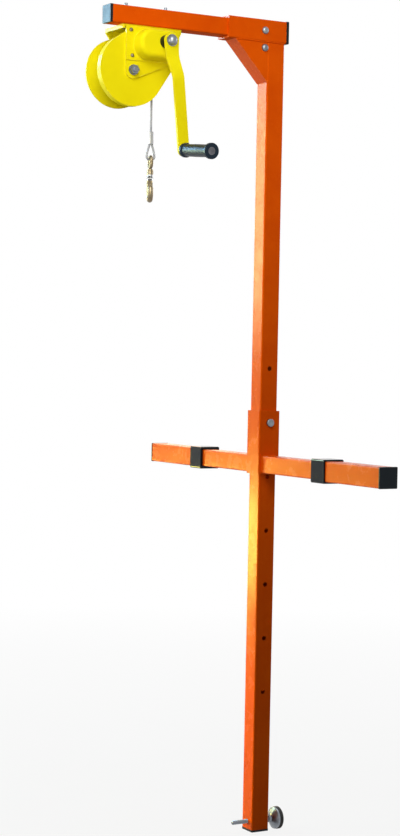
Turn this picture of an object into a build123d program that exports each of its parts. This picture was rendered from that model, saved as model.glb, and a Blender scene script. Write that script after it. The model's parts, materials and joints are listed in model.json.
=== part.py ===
from build123d import *
import math
import os

os.makedirs("parts", exist_ok=True)

# Frame: X runs out along the arm, Y along the crossbar, Z up.
# The origin is on the mast's axis, level with the undersides of the crossbar's collars.

# Square tubes
TUBE_CORNER = 3.5
BORE_CORNER = 0.8
SLIDE_FIT = 0.3
PLUG_FIT = 0.2
PLUG_EDGE = 1.0
PLUG_CORNER = 2.0
EDGE_BREAK = 1.0

# Domed heads, as shares of the head's radius and height
DOME_FLAT = 0.25
DOME_MIDDLE = 0.76
DOME_RISE = 0.68

# Mast
MAST_SIZE = 45.0
MAST_WALL = 2.5
MAST_DROP = 830.0
ARM_HEIGHT = 1020.0
PIN_HOLE_DIA = 11.0
PIN_HOLE_PITCH = 125.0
PIN_HOLE_COUNT = 7
LOWEST_PIN_HOLE = 327.5
MAST_PLUG_FLANGE = 5.0
MAST_PLUG_DEPTH = 10.0

# Foot screw and wall pad
FOOT_RISE = 22.5
FOOT_SCREW_DIA = 10.0
FOOT_SCREW_OUT = 63.0
FOOT_HOLE_GAP = 0.5
FOOT_NUT_AF = 17.0
FOOT_NUT_HEIGHT = 8.0
PAD_GAP = 4.0
PAD_HUB_DIA = 17.0
PAD_HUB_LENGTH = 6.5
PAD_DIA = 50.0
PAD_DOME = 9.0
PAD_RIM = 4.0
RUBBER_DIA = 52.0
RUBBER_THICK = 9.0
PAD_SOCKET = 11.0

# Sleeve and gusset at the head
SLEEVE_SIZE = 50.0
SLEEVE_FRONT = 128.0
SLEEVE_BACK = 25.0
SLEEVE_CAP_FLANGE = 7.0
SLEEVE_CAP_LIP = 0.8
SLEEVE_CAP_DEPTH = 12.0
GUSSET_RUN = 86.0
GUSSET_DROP = 92.0
GUSSET_SHEET = 3.0
HEAD_BOLT_DIA = 8.0
HEAD_BOLT_HEAD = 17.5
HEAD_BOLT_DOME = 6.0
LOCK_BOLT_X = 32.0
LOCK_TIP_GAP = 0.3
GUSSET_RIVET_X = 30.5
GUSSET_RIVET_DROP = 14.0

# Sliding arm
ARM_SIZE = 40.0
ARM_WALL = 3.0
ARM_END = 420.0
ARM_CAP_GAP = 1.0
ARM_PLUG_FLANGE = 6.0
ARM_PLUG_DEPTH = 15.0

# Crossbar
COLLAR_SIZE = 53.0
COLLAR_LENGTH = 52.0
COLLAR_START = 244.0
COLLAR_SOCKET = 20.0
COLLAR_EDGE = 2.0
STUB_SIZE = 40.0
STUB_WALL = 3.0
STUB_END = 430.0
EXTENSION_SIZE = 45.0
EXTENSION_END = 498.0
END_CAP_FLANGE = 4.0
END_CAP_DEPTH = 14.0
END_CAP_LIP = 0.6
WING_SCREW_DIA = 8.0
WING_SPAN = 42.0
WING_HEIGHT = 13.0
WING_THICK = 6.0
WING_HUB_DIA = 15.0
WING_STANDOFF = 5.0

# Carriage that carries the crossbar on the mast
CARRIAGE_SIZE = 55.0
CARRIAGE_BOTTOM = 4.0
CARRIAGE_HEIGHT = 146.0
CARRIAGE_PIN_RISE = 118.5
PIN_DIA = 10.0
PIN_HEAD_DIA = 18.0
PIN_HEAD_HEIGHT = 6.0
PIN_TAIL = 14.0
CLIP_WIRE = 2.0
CLIP_REACH = 24.0

# Gears
GEAR_MODULE = 2.0
GEAR_TEETH = 72
PINION_TEETH = 17
GEAR_WIDTH = 8.0
PINION_EXTRA = 2.0
BACKLASH = 0.5
ADDENDUM = 0.95
DEDENDUM = 1.25
PRESSURE_ANGLE = math.radians(20)

# Winch: axis places, sheet thicknesses and the stack along Y
DRUM_X = 365.0
DRUM_DROP = 119.0
PINION_ANGLE = math.radians(135)
FRAME_SHEET = 4.0
FRAME_FRONT_Y = 15.0
FRAME_DEPTH = 88.0
BASE_BEHIND = 56.0
BASE_AHEAD = 27.0
BASE_LIP = 5.0
SIDE_BEHIND = 50.0
SIDE_SLOPE = 16.0
AXLE_LUG = 19.0
PINION_LUG = 52.0
GUARD_SHEET = 2.0
GUARD_DEPTH = 16.0
GUARD_DRUM_R = 79.0
GUARD_PINION_R = 61.0
COVER_SHEET = 2.0
COVER_FLANGE_DROP = 42.0
COVER_DEPTH = 31.0
COVER_BASE = (-44.0, 64.0, -40.0, 29.0)
COVER_FACE = (-30.0, 60.0, -35.0, 27.0)
COVER_BASE_ROUNDS = (24.0, 34.0)
COVER_FACE_ROUNDS = (20.0, 30.0)
COVER_EDGE = 11.0
COVER_SCREW_PLACES = ((71.0, 24.0), (67.0, -32.0), (-43.0, -36.5))
COVER_SCREW_DIA = 5.0
COVER_SCREW_HEAD = 9.0
COVER_SCREW_HIGH = 3.5

# Drum, its axle and the wound rope
AXLE_DIA = 12.0
AXLE_HEAD_AF = 18.0
AXLE_HEAD_HEIGHT = 8.0
AXLE_NUT_AF = 18.0
AXLE_NUT_HEIGHT = 8.0
AXLE_TAIL = 3.0
WASHER_DIA = 23.0
WASHER_THICK = 2.0
RUNNING_GAP = 0.05
SIDE_GAP = 0.3
FLANGE_GAP = 2.4
DRUM_BUSH_WALL = 3.0
HUB_WALL = 4.0
HUB_PROUD = 4.0
BARREL_R = 32.0
DRUM_FLANGE = 3.0
REAR_FLANGE_R = 77.0
FRONT_FLANGE_R = 68.0
ROPE_DIA = 5.0
ROPE_RADIUS = 60.0
ROPE_PITCH = 5.6
ROPE_TURNS = 3.5
ROPE_SIDE_GAP = 1.0
CORE_GAP = 0.2
CORE_REAR_R = 40.0

# Brake and crank
SHAFT_DIA = 14.0
SHAFT_TAIL = 4.0
BUSH_WALL = 3.0
BUSH_FLANGE = 2.0
BUSH_LIP = 3.0
BRAKE_CLEAR = 2.0
BRAKE_DISC_R = 22.0
BRAKE_DISC_THICK = 4.0
LINING_R = 21.0
LINING_THICK = 2.0
RATCHET_R = 24.0
RATCHET_DEPTH = 4.0
RATCHET_TEETH = 12
RATCHET_FACE = 0.1
RATCHET_THICK = 6.0
BRAKE_GAP = 0.2
SPIGOT_R = 9.0
HUB_BOSS_R = 10.0
PAWL_X = 34.0
PAWL_DROP = 22.0
PAWL_BOSS_R = 6.0
PAWL_PIN_DIA = 6.0
PAWL_TIP_ANGLE = math.radians(10)
PAWL_TIP_R = 23.0
PAWL_NOSE_R = 1.6
PAWL_THICK = 5.0
SPRING_WIRE = 1.2
SPRING_TURNS = 3.0
SPRING_PITCH = 1.8
COLLAR_BUSH_R = 15.0
COLLAR_BUSH_GAP = 0.3
COLLAR_BUSH_PROUD = 14.0
CRANK_THICK = 6.0
CRANK_CLEAR = 7.0
CRANK_HUB_WIDTH = 33.0
CRANK_WIDTH = 27.0
CRANK_LENGTH = 241.0
CRANK_NECK = 36.0
CRANK_BEND_DROP = 80.0
CRANK_BEND_OUT = 20.0
CRANK_BEND_R = 30.0
CRANK_LEAN = 5.8
CRANK_BOLT_DIA = 8.0
CRANK_BOLT_DEPTH = 20.0
CRANK_BOLT_FLANGE = 26.0
CRANK_BOLT_DOME = 10.0
SPINDLE_DIA = 10.0
SPINDLE_HEAD = 17.0
SPINDLE_HEAD_HEIGHT = 3.0
GRIP_LENGTH = 116.0
GRIP_DROOP = 5.6
GRIP_COLLAR_R = 9.0
GRIP_COLLAR_LENGTH = 4.0
GRIP_R = 13.2
GRIP_INNER_R = 16.0
GRIP_OUTER_R = 17.5
GRIP_FLANGE = 6.0
GRIP_TAPER = 4.0
GRIP_SWELL = 0.8

# Fixing bolts of the winch
WINCH_BOLT_BEHIND = 23.0
WINCH_BOLT_AHEAD = 13.0
BOLT_RELIEF = 1.0
WINCH_BOLT_DIA = 8.0
WINCH_BOLT_HEAD_AF = 13.0
WINCH_BOLT_HEAD_HEIGHT = 5.3
WINCH_NUT_HEIGHT = 6.5
WINCH_BOLT_TAIL = 8.0
BOLT_HOLE_GAP = 0.5

# Rope end and hook
ROPE_FALL_LENGTH = 124.0
FERRULE_LENGTH = 28.0
FERRULE_WIDTH = 13.0
FERRULE_THICK = 9.0
EYE_RADIUS = 10.5
EYE_DROP = 25.0
EYE_SPREAD = 2.7
BOW_RADIUS = 9.0
BOW_WIRE_R = 4.2
BOW_STRAIGHT = 5.0
BOW_TURN = 77.0
BOW_GAP = 0.3
SWIVEL_PIN_R = 3.5
SWIVEL_HEAD_R = 6.0
SWIVEL_HEAD_HEIGHT = 3.5
SWIVEL_NECK = 2.3
HOOK_COLLAR_R = 7.0
HOOK_COLLAR_HEIGHT = 9.0
HOOK_WIRE_R = 6.3
HOOK_BOWL_R = 17.0
HOOK_BOWL_DROP = 48.7
HOOK_TIP_ANGLE = 25.0
HOOK_TURN = 66.0
LATCH_SHEET = 1.6
LATCH_PIN_DIA = 4.0
LATCH_PIN_TAIL = 1.2
LATCH_IN = 7.6
LATCH_DROP = 17.2
LATCH_EAR_R = 4.2
LATCH_LUG_R = 3.6
LATCH_LUG_WIDTH = 7.8
LATCH_REST_R = 9.6
LATCH_REST_ANGLE = 30.0

# Places worked out from the sizes above
CROSSBAR_Z = COLLAR_SIZE / 2
COLLAR_SCREW_Y = COLLAR_START + (COLLAR_LENGTH - COLLAR_SOCKET) / 2
MAST_TOP = ARM_HEIGHT - SLEEVE_SIZE / 2
FOOT_Z = FOOT_RISE - MAST_DROP
GUSSET_RIVET = (GUSSET_RIVET_X, MAST_TOP - GUSSET_RIVET_DROP)
ARM_UNDER = ARM_HEIGHT - ARM_SIZE / 2
ARM_TOP = ARM_HEIGHT + ARM_SIZE / 2
ARM_START = SLEEVE_CAP_DEPTH - SLEEVE_BACK + ARM_CAP_GAP
CARRIAGE_PIN_Z = CARRIAGE_BOTTOM + CARRIAGE_PIN_RISE
HOLES_BELOW_PIN = int((CARRIAGE_PIN_Z + MAST_DROP - LOWEST_PIN_HOLE) / PIN_HOLE_PITCH)
PIN_HOLES = [CARRIAGE_PIN_Z + (i - HOLES_BELOW_PIN) * PIN_HOLE_PITCH for i in range(PIN_HOLE_COUNT)]
CLIP_Y = -CARRIAGE_SIZE / 2 - PIN_TAIL / 2
CENTRE_DISTANCE = GEAR_MODULE * (GEAR_TEETH + PINION_TEETH) / 2
DRUM_Z = ARM_HEIGHT - DRUM_DROP
DRUM = (DRUM_X, DRUM_Z)
PINION_X = DRUM_X + CENTRE_DISTANCE * math.cos(PINION_ANGLE)
PINION_Z = DRUM_Z + CENTRE_DISTANCE * math.sin(PINION_ANGLE)
PINION = (PINION_X, PINION_Z)
FRAME_REAR_Y = FRAME_FRONT_Y - FRAME_DEPTH
FRONT_INNER_Y = FRAME_FRONT_Y - FRAME_SHEET
REAR_INNER_Y = FRAME_REAR_Y + FRAME_SHEET
GUARD_INNER_Y = FRONT_INNER_Y - GUARD_SHEET
BASE_UNDER = ARM_UNDER - FRAME_SHEET
BASE_X0 = PINION[0] - BASE_BEHIND
BASE_X1 = DRUM_X + BASE_AHEAD
SIDE_X0 = PINION[0] - SIDE_BEHIND
SIDE_X1 = DRUM_X + AXLE_LUG
WINCH_BOLT_XS = (PINION[0] - WINCH_BOLT_BEHIND, DRUM_X + WINCH_BOLT_AHEAD)
COVER_SCREWS = [(PINION[0] + x, PINION[1] + z) for x, z in COVER_SCREW_PLACES]
COVER_BOTTOM = PINION[1] - COVER_FLANGE_DROP
COVER_BACK_Y = FRAME_FRONT_Y + COVER_SHEET
COVER_FRONT_Y = COVER_BACK_Y + COVER_DEPTH
GEAR_Y1 = GUARD_INNER_Y - HUB_PROUD
GEAR_Y0 = GEAR_Y1 - GEAR_WIDTH
ROPE_SPACE_Y1 = GEAR_Y0 - DRUM_FLANGE
REAR_FLANGE_Y0 = REAR_INNER_Y + FLANGE_GAP
ROPE_SPACE_Y0 = REAR_FLANGE_Y0 + DRUM_FLANGE
ROPE_FALL_X = DRUM_X - ROPE_RADIUS
ROPE_FALL_Y = ROPE_SPACE_Y1 - ROPE_DIA / 2 - ROPE_SIDE_GAP
FERRULE_TOP = DRUM_Z - ROPE_DIA - ROPE_FALL_LENGTH
BRAKE_START = FRAME_FRONT_Y + BRAKE_CLEAR
LINING_A = BRAKE_START + BRAKE_DISC_THICK
RATCHET_Y = LINING_A + LINING_THICK + BRAKE_GAP
LINING_B = RATCHET_Y + RATCHET_THICK + BRAKE_GAP
HUB_FLANGE_Y = LINING_B + LINING_THICK
PAWL = (PINION[0] + PAWL_X, PINION[1] - PAWL_DROP)
PAWL_Y0 = RATCHET_Y + (RATCHET_THICK - PAWL_THICK) / 2
PAWL_Y1 = PAWL_Y0 + PAWL_THICK
SPRING_R = PAWL_PIN_DIA / 2 + SPRING_WIRE / 2 + SIDE_GAP
SPRING_Y = PAWL_Y1 + SIDE_GAP + SPRING_WIRE / 2
EYE_CENTRE_Z = FERRULE_TOP - FERRULE_LENGTH - EYE_DROP
BOW_Z = EYE_CENTRE_Z - EYE_RADIUS + ROPE_DIA / 2 + BOW_GAP + BOW_WIRE_R - BOW_RADIUS
BOW_LOW_Z = BOW_Z - BOW_STRAIGHT
HOOK_TOP_Z = BOW_LOW_Z - BOW_RADIUS - BOW_WIRE_R - SWIVEL_NECK
CRANK_Y = COVER_FRONT_Y + COLLAR_BUSH_PROUD + CRANK_CLEAR
CRANK_MID_Y = CRANK_Y + CRANK_THICK / 2
GRIP_FOOT = (PINION_X, CRANK_MID_Y + CRANK_BEND_OUT, PINION_Z - CRANK_LENGTH)
GRIP_WAY = (0, math.cos(math.radians(GRIP_DROOP)), -math.sin(math.radians(GRIP_DROOP)))
GRIP_FRAME = Plane(origin=GRIP_FOOT, x_dir=(1, 0, 0), z_dir=GRIP_WAY)
GRIP_START = CRANK_THICK / 2 + GRIP_COLLAR_LENGTH + SIDE_GAP
GRIP_FINISH = GRIP_START + GRIP_LENGTH


# Plain building blocks
def square_tube(size, wall, length):
    bore = size - 2 * wall
    corner = max(TUBE_CORNER - wall, BORE_CORNER)
    outer = extrude(RectangleRounded(size, size, TUBE_CORNER), length)
    return outer - extrude(RectangleRounded(bore, bore, corner), length)


def lay_x(shape):
    return Rot(0, 90, 0) * shape


def lay_y(shape):
    return Rot(-90, 0, 0) * shape


def rod(radius, length):
    return Cylinder(radius, length, align=(Align.CENTER, Align.CENTER, Align.MIN))


def rod_x(radius, y, z, x0, x1):
    return Pos(x0, y, z) * lay_x(rod(radius, x1 - x0))


def rod_y(radius, at, y0, y1):
    return Pos(at[0], y0, at[1]) * lay_y(rod(radius, y1 - y0))


def rod_z(radius, x, y, z0, z1):
    return Pos(x, y, z0) * rod(radius, z1 - z0)


def plate_y(sketch, y0, y1):
    return Pos(0, y1, 0) * extrude(Plane.XZ * sketch, y1 - y0)


def rectangle(x0, x1, z0, z1):
    return Pos((x0 + x1) / 2, (z0 + z1) / 2) * Rectangle(x1 - x0, z1 - z0)


def ring_y(outer, inner, at, y0, y1):
    return rod_y(outer, at, y0, y1) - rod_y(inner, at, y0, y1)


def hexagon(across_flats, height):
    return extrude(RegularPolygon(across_flats / 2, 6, major_radius=False), height)


def dome(diameter, height):
    edge = diameter / 2
    flat = DOME_FLAT * edge
    middle = (DOME_MIDDLE * edge, DOME_RISE * height)
    profile = make_face(Curve() + [
        Polyline((flat, height), (0, height), (0, 0), (edge, 0)),
        ThreePointArc((edge, 0), middle, (flat, height)),
    ])
    return revolve(Plane.XZ * profile, Axis.Z)


def tube_plug(size, wall, flange, depth, lip=0.0):
    bore = size - 2 * wall - 2 * PLUG_FIT
    head = extrude(RectangleRounded(size + 2 * lip, size + 2 * lip, PLUG_CORNER), flange)
    head = fillet(head.faces().sort_by(Axis.Z)[-1].edges(), PLUG_EDGE)
    spigot = Pos(0, 0, -depth) * extrude(RectangleRounded(bore, bore, BORE_CORNER), depth)
    return head + spigot


def teardrop(centre_a, radius_a, centre_b, radius_b):
    dx, dz = centre_b[0] - centre_a[0], centre_b[1] - centre_a[1]
    along = math.atan2(dz, dx)
    spread = math.acos((radius_a - radius_b) / math.hypot(dx, dz))
    corners = []
    for centre, radius, side in ((centre_a, radius_a, 1), (centre_b, radius_b, 1),
                                 (centre_b, radius_b, -1), (centre_a, radius_a, -1)):
        angle = along + side * spread
        corners.append((centre[0] + radius * math.cos(angle), centre[1] + radius * math.sin(angle)))
    web = make_face(Polyline(*corners, close=True))
    return web + Pos(*centre_a) * Circle(radius_a) + Pos(*centre_b) * Circle(radius_b)


def below_base(sketch):
    reach = 2 * GUARD_DRUM_R
    return sketch & rectangle(SIDE_X0, DRUM_X + reach, DRUM_Z - reach, BASE_UNDER)


# Mast, its foot plug and the gusset under the sleeve
def mast_tube():
    bottom = MAST_PLUG_FLANGE - MAST_DROP
    tube = Pos(0, 0, bottom) * square_tube(MAST_SIZE, MAST_WALL, MAST_TOP - bottom)
    for z in PIN_HOLES:
        tube -= rod_y(PIN_HOLE_DIA / 2, (0, z), -MAST_SIZE, MAST_SIZE)
    return tube - rod_x(FOOT_SCREW_DIA / 2 + FOOT_HOLE_GAP, 0, FOOT_Z, -MAST_SIZE, MAST_SIZE)


def mast_bottom_plug():
    plug = tube_plug(MAST_SIZE, MAST_WALL, MAST_PLUG_FLANGE, MAST_PLUG_DEPTH)
    return Pos(0, 0, MAST_PLUG_FLANGE - MAST_DROP) * Rot(180, 0, 0) * plug


def head_gusset():
    slope = math.hypot(GUSSET_RUN, GUSSET_DROP)
    inner_run = GUSSET_RUN - GUSSET_SHEET * slope / GUSSET_DROP
    inner_drop = GUSSET_DROP - GUSSET_SHEET * slope / GUSSET_RUN
    face = MAST_SIZE / 2
    half = MAST_SIZE / 2

    def wedge(run, drop):
        corners = ((face, MAST_TOP), (face + run, MAST_TOP), (face, MAST_TOP - drop))
        return make_face(Polyline(*corners, close=True))

    body = plate_y(wedge(GUSSET_RUN, GUSSET_DROP), -half, half)
    body -= plate_y(wedge(inner_run, inner_drop), GUSSET_SHEET - half, half - GUSSET_SHEET)
    return body - rod_y(HEAD_BOLT_DIA / 2 + RUNNING_GAP, GUSSET_RIVET, -MAST_SIZE, MAST_SIZE)


def arm_sleeve():
    wall = (SLEEVE_SIZE - ARM_SIZE) / 2 - SLIDE_FIT
    tube = lay_x(square_tube(SLEEVE_SIZE, wall, SLEEVE_FRONT + SLEEVE_BACK))
    tube = Pos(-SLEEVE_BACK, 0, ARM_HEIGHT) * tube
    return tube - rod_y(HEAD_BOLT_DIA / 2 + RUNNING_GAP, (LOCK_BOLT_X, ARM_HEIGHT), 0, SLEEVE_SIZE)


def sleeve_end_cap():
    wall = (SLEEVE_SIZE - ARM_SIZE) / 2 - SLIDE_FIT
    cap = tube_plug(SLEEVE_SIZE, wall, SLEEVE_CAP_FLANGE, SLEEVE_CAP_DEPTH, SLEEVE_CAP_LIP)
    return Pos(-SLEEVE_BACK, 0, ARM_HEIGHT) * Rot(0, -90, 0) * cap


def arm_lock_bolt():
    at = (LOCK_BOLT_X, ARM_HEIGHT)
    head = Pos(at[0], SLEEVE_SIZE / 2, at[1]) * lay_y(dome(HEAD_BOLT_HEAD, HEAD_BOLT_DOME))
    return head + rod_y(HEAD_BOLT_DIA / 2, at, ARM_SIZE / 2 + LOCK_TIP_GAP, SLEEVE_SIZE / 2)


def gusset_rivet():
    face = MAST_SIZE / 2
    head = Pos(0, 0, face) * dome(HEAD_BOLT_HEAD, HEAD_BOLT_DOME)
    rivet = Cylinder(HEAD_BOLT_DIA / 2, MAST_SIZE) + head + Rot(180, 0, 0) * head
    return Pos(GUSSET_RIVET[0], 0, GUSSET_RIVET[1]) * lay_y(rivet)


# Foot screw with its nut and wall pad
def foot_nut():
    nut = hexagon(FOOT_NUT_AF, FOOT_NUT_HEIGHT)
    nut -= Cylinder(FOOT_SCREW_DIA / 2 + RUNNING_GAP, 3 * FOOT_NUT_HEIGHT)
    return Pos(-MAST_SIZE / 2, 0, FOOT_Z) * Rot(0, -90, 0) * nut


PAD_HUB_X = -MAST_SIZE / 2 - FOOT_NUT_HEIGHT - PAD_GAP
PAD_FACE_X = PAD_HUB_X - PAD_HUB_LENGTH - PAD_DOME - PAD_RIM


def foot_screw():
    screw = rod_x(FOOT_SCREW_DIA / 2, 0, FOOT_Z, PAD_HUB_X - PAD_SOCKET, FOOT_SCREW_OUT)
    return chamfer(screw.edges().filter_by(GeomType.CIRCLE), EDGE_BREAK)


def foot_disc():
    rim = PAD_HUB_LENGTH + PAD_DOME
    profile = make_face(Curve() + [
        Polyline((0, 0), (PAD_HUB_DIA / 2, 0), (PAD_HUB_DIA / 2, PAD_HUB_LENGTH)),
        ThreePointArc((PAD_HUB_DIA / 2, PAD_HUB_LENGTH), (PAD_DIA * 0.38, PAD_HUB_LENGTH + PAD_DOME * 0.6),
                      (PAD_DIA / 2, rim)),
        Polyline((PAD_DIA / 2, rim), (PAD_DIA / 2, rim + PAD_RIM), (0, rim + PAD_RIM), (0, 0)),
    ])
    disc = revolve(Plane.XZ * profile, Axis.Z)
    socket_end = PAD_SOCKET + SIDE_GAP
    disc -= Cylinder(FOOT_SCREW_DIA / 2 + RUNNING_GAP, 2 * socket_end)
    return Pos(PAD_HUB_X, 0, FOOT_Z) * Rot(0, -90, 0) * disc


def foot_rubber():
    pad = rod_x(RUBBER_DIA / 2, 0, FOOT_Z, PAD_FACE_X - RUBBER_THICK, PAD_FACE_X)
    return chamfer(pad.edges().filter_by(GeomType.CIRCLE), EDGE_BREAK)


# Crossbar: carriage on the mast, two stubs, and an extension on each side
def carriage_sleeve():
    wall = (CARRIAGE_SIZE - MAST_SIZE) / 2 - SLIDE_FIT
    sleeve = Pos(0, 0, CARRIAGE_BOTTOM) * square_tube(CARRIAGE_SIZE, wall, CARRIAGE_HEIGHT)
    return sleeve - rod_y(PIN_HOLE_DIA / 2, (0, CARRIAGE_PIN_Z), -CARRIAGE_SIZE, CARRIAGE_SIZE)


def carriage_pin():
    face = CARRIAGE_SIZE / 2
    at = (0, CARRIAGE_PIN_Z)
    pin = rod_y(PIN_DIA / 2, at, -face - PIN_TAIL, face)
    pin += rod_y(PIN_HEAD_DIA / 2, at, face, face + PIN_HEAD_HEIGHT)
    pin = chamfer(pin.faces().sort_by(Axis.Y)[-1].edges(), EDGE_BREAK)
    hole = rod_z(CLIP_WIRE / 2 + RUNNING_GAP, 0, CLIP_Y, CARRIAGE_PIN_Z - PIN_DIA, CARRIAGE_PIN_Z + PIN_DIA)
    return pin - hole


def pin_clip():
    top = CARRIAGE_PIN_Z + PIN_DIA / 2 + CLIP_WIRE
    leg = CLIP_WIRE + PIN_DIA / 2
    path = FilletPolyline((0, CLIP_Y, top - CLIP_REACH), (0, CLIP_Y, top + leg),
                          (leg, CLIP_Y, top + leg), (leg, CLIP_Y, top - CLIP_REACH), radius=0.45 * leg)
    return sweep(Plane(origin=path @ 0, z_dir=path % 0) * Circle(CLIP_WIRE / 2), path)


def on_side(shape, side):
    return shape if side > 0 else mirror(shape, about=Plane.XZ)


def crossbar_stub(side):
    start = CARRIAGE_SIZE / 2
    tube = lay_y(square_tube(STUB_SIZE, STUB_WALL, STUB_END - start))
    return on_side(Pos(0, start, CROSSBAR_Z) * tube, side)


def extension_tube(side):
    start = COLLAR_START + COLLAR_LENGTH - COLLAR_SOCKET
    wall = (EXTENSION_SIZE - STUB_SIZE) / 2 - SLIDE_FIT
    tube = lay_y(square_tube(EXTENSION_SIZE, wall, EXTENSION_END - start))
    return on_side(Pos(0, start, CROSSBAR_Z) * tube, side)


def extension_cap(side):
    wall = (EXTENSION_SIZE - STUB_SIZE) / 2 - SLIDE_FIT
    cap = tube_plug(EXTENSION_SIZE, wall, END_CAP_FLANGE, END_CAP_DEPTH, END_CAP_LIP)
    return on_side(Pos(0, EXTENSION_END, CROSSBAR_Z) * lay_y(cap), side)


def lock_collar(side):
    block = extrude(RectangleRounded(COLLAR_SIZE, COLLAR_SIZE, TUBE_CORNER), COLLAR_LENGTH)
    ends = block.faces().sort_by(Axis.Z)
    block = fillet(ends[0].edges() + ends[-1].edges(), COLLAR_EDGE)
    bore = STUB_SIZE + 2 * SLIDE_FIT
    socket = EXTENSION_SIZE + 2 * RUNNING_GAP
    block -= extrude(RectangleRounded(bore, bore, BORE_CORNER), COLLAR_LENGTH)
    block -= Pos(0, 0, COLLAR_LENGTH - COLLAR_SOCKET) * extrude(Rectangle(socket, socket), COLLAR_SOCKET)
    collar = Pos(0, COLLAR_START, CROSSBAR_Z) * lay_y(block)
    hole = rod_x(WING_SCREW_DIA / 2 + RUNNING_GAP, COLLAR_SCREW_Y, CROSSBAR_Z, -COLLAR_SIZE, 0)
    return on_side(collar - hole, side)


def collar_screw(side):
    face = -COLLAR_SIZE / 2
    tip = -STUB_SIZE / 2 - LOCK_TIP_GAP
    head = face - WING_STANDOFF
    y = COLLAR_SCREW_Y
    screw = rod_x(WING_SCREW_DIA / 2, y, CROSSBAR_Z, head, tip)
    screw += rod_x(WING_HUB_DIA / 2, y, CROSSBAR_Z, head, face)
    wing = extrude(RectangleRounded(WING_HEIGHT, WING_SPAN, WING_HEIGHT * 0.45), WING_THICK)
    wing = fillet(wing.edges().group_by(Axis.Z)[-1], EDGE_BREAK)
    screw += Pos(head, y, CROSSBAR_Z) * Rot(0, -90, 0) * wing
    return on_side(screw, side)


# Sliding arm
def arm_tube():
    tube = Pos(ARM_START, 0, ARM_HEIGHT) * lay_x(square_tube(ARM_SIZE, ARM_WALL, ARM_END - ARM_START))
    for x in WINCH_BOLT_XS:
        tube -= rod_z(WINCH_BOLT_DIA / 2 + BOLT_HOLE_GAP, x, 0, ARM_UNDER - ARM_SIZE, ARM_TOP + ARM_SIZE)
    return tube


def arm_end_plug():
    plug = tube_plug(ARM_SIZE, ARM_WALL, ARM_PLUG_FLANGE, ARM_PLUG_DEPTH)
    return Pos(ARM_END, 0, ARM_HEIGHT) * lay_x(plug)


def winch_bolts():
    bolts = []
    for x in WINCH_BOLT_XS:
        shank = rod_z(WINCH_BOLT_DIA / 2, x, 0, BASE_UNDER, ARM_TOP + WINCH_BOLT_TAIL)
        head = hexagon(WINCH_BOLT_HEAD_AF, WINCH_BOLT_HEAD_HEIGHT)
        bolts.append(shank + Pos(x, 0, BASE_UNDER - WINCH_BOLT_HEAD_HEIGHT) * head)
    return Compound(bolts)


def winch_nuts():
    nuts = []
    for x in WINCH_BOLT_XS:
        nut = hexagon(WINCH_BOLT_HEAD_AF, WINCH_NUT_HEIGHT)
        nut -= Cylinder(WINCH_BOLT_DIA / 2 + RUNNING_GAP, 3 * WINCH_NUT_HEIGHT)
        nuts.append(Pos(x, 0, ARM_TOP - ARM_WALL - WINCH_NUT_HEIGHT) * nut)
    return Compound(nuts)


# Winch housing
def side_outline():
    web = teardrop(DRUM, AXLE_LUG, PINION, PINION_LUG)
    web += rectangle(DRUM_X, SIDE_X1, DRUM_Z, BASE_UNDER)
    web += rectangle(SIDE_X0, SIDE_X1, COVER_BOTTOM, BASE_UNDER)
    return below_base(web)


def end_slope(side_x, base_x, inner_x):
    corners = ((inner_x, BASE_UNDER), (base_x, BASE_UNDER), (base_x, BASE_UNDER - BASE_LIP),
               (side_x, BASE_UNDER - SIDE_SLOPE), (inner_x, BASE_UNDER - SIDE_SLOPE))
    return make_face(Polyline(*corners, close=True))


def winch_frame():
    front = side_outline() + end_slope(SIDE_X0, BASE_X0, PINION_X)
    rear = front + end_slope(SIDE_X1, BASE_X1, DRUM_X)
    lip = rectangle(BASE_X1 - FRAME_SHEET, BASE_X1, BASE_UNDER - BASE_LIP, ARM_UNDER)
    frame = plate_y(rectangle(BASE_X0, BASE_X1, BASE_UNDER, ARM_UNDER) + lip, FRAME_REAR_Y, FRAME_FRONT_Y)
    frame += plate_y(front, FRONT_INNER_Y, FRAME_FRONT_Y)
    frame += plate_y(rear, FRAME_REAR_Y, REAR_INNER_Y)
    frame -= rod_y(AXLE_DIA / 2 + RUNNING_GAP, DRUM, FRAME_REAR_Y, FRAME_FRONT_Y)
    frame -= rod_y(SHAFT_DIA / 2 + BUSH_WALL + RUNNING_GAP, PINION, FRAME_REAR_Y, FRAME_FRONT_Y)
    frame -= rod_y(PAWL_PIN_DIA / 2 + RUNNING_GAP, PAWL, FRONT_INNER_Y, FRAME_FRONT_Y)
    for at in COVER_SCREWS:
        frame -= rod_y(COVER_SCREW_DIA / 2 + RUNNING_GAP, at, FRONT_INNER_Y, FRAME_FRONT_Y)
    for x in WINCH_BOLT_XS:
        frame -= rod_z(WINCH_BOLT_DIA / 2 + BOLT_HOLE_GAP, x, 0, BASE_UNDER, ARM_UNDER)
    return frame


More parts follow.
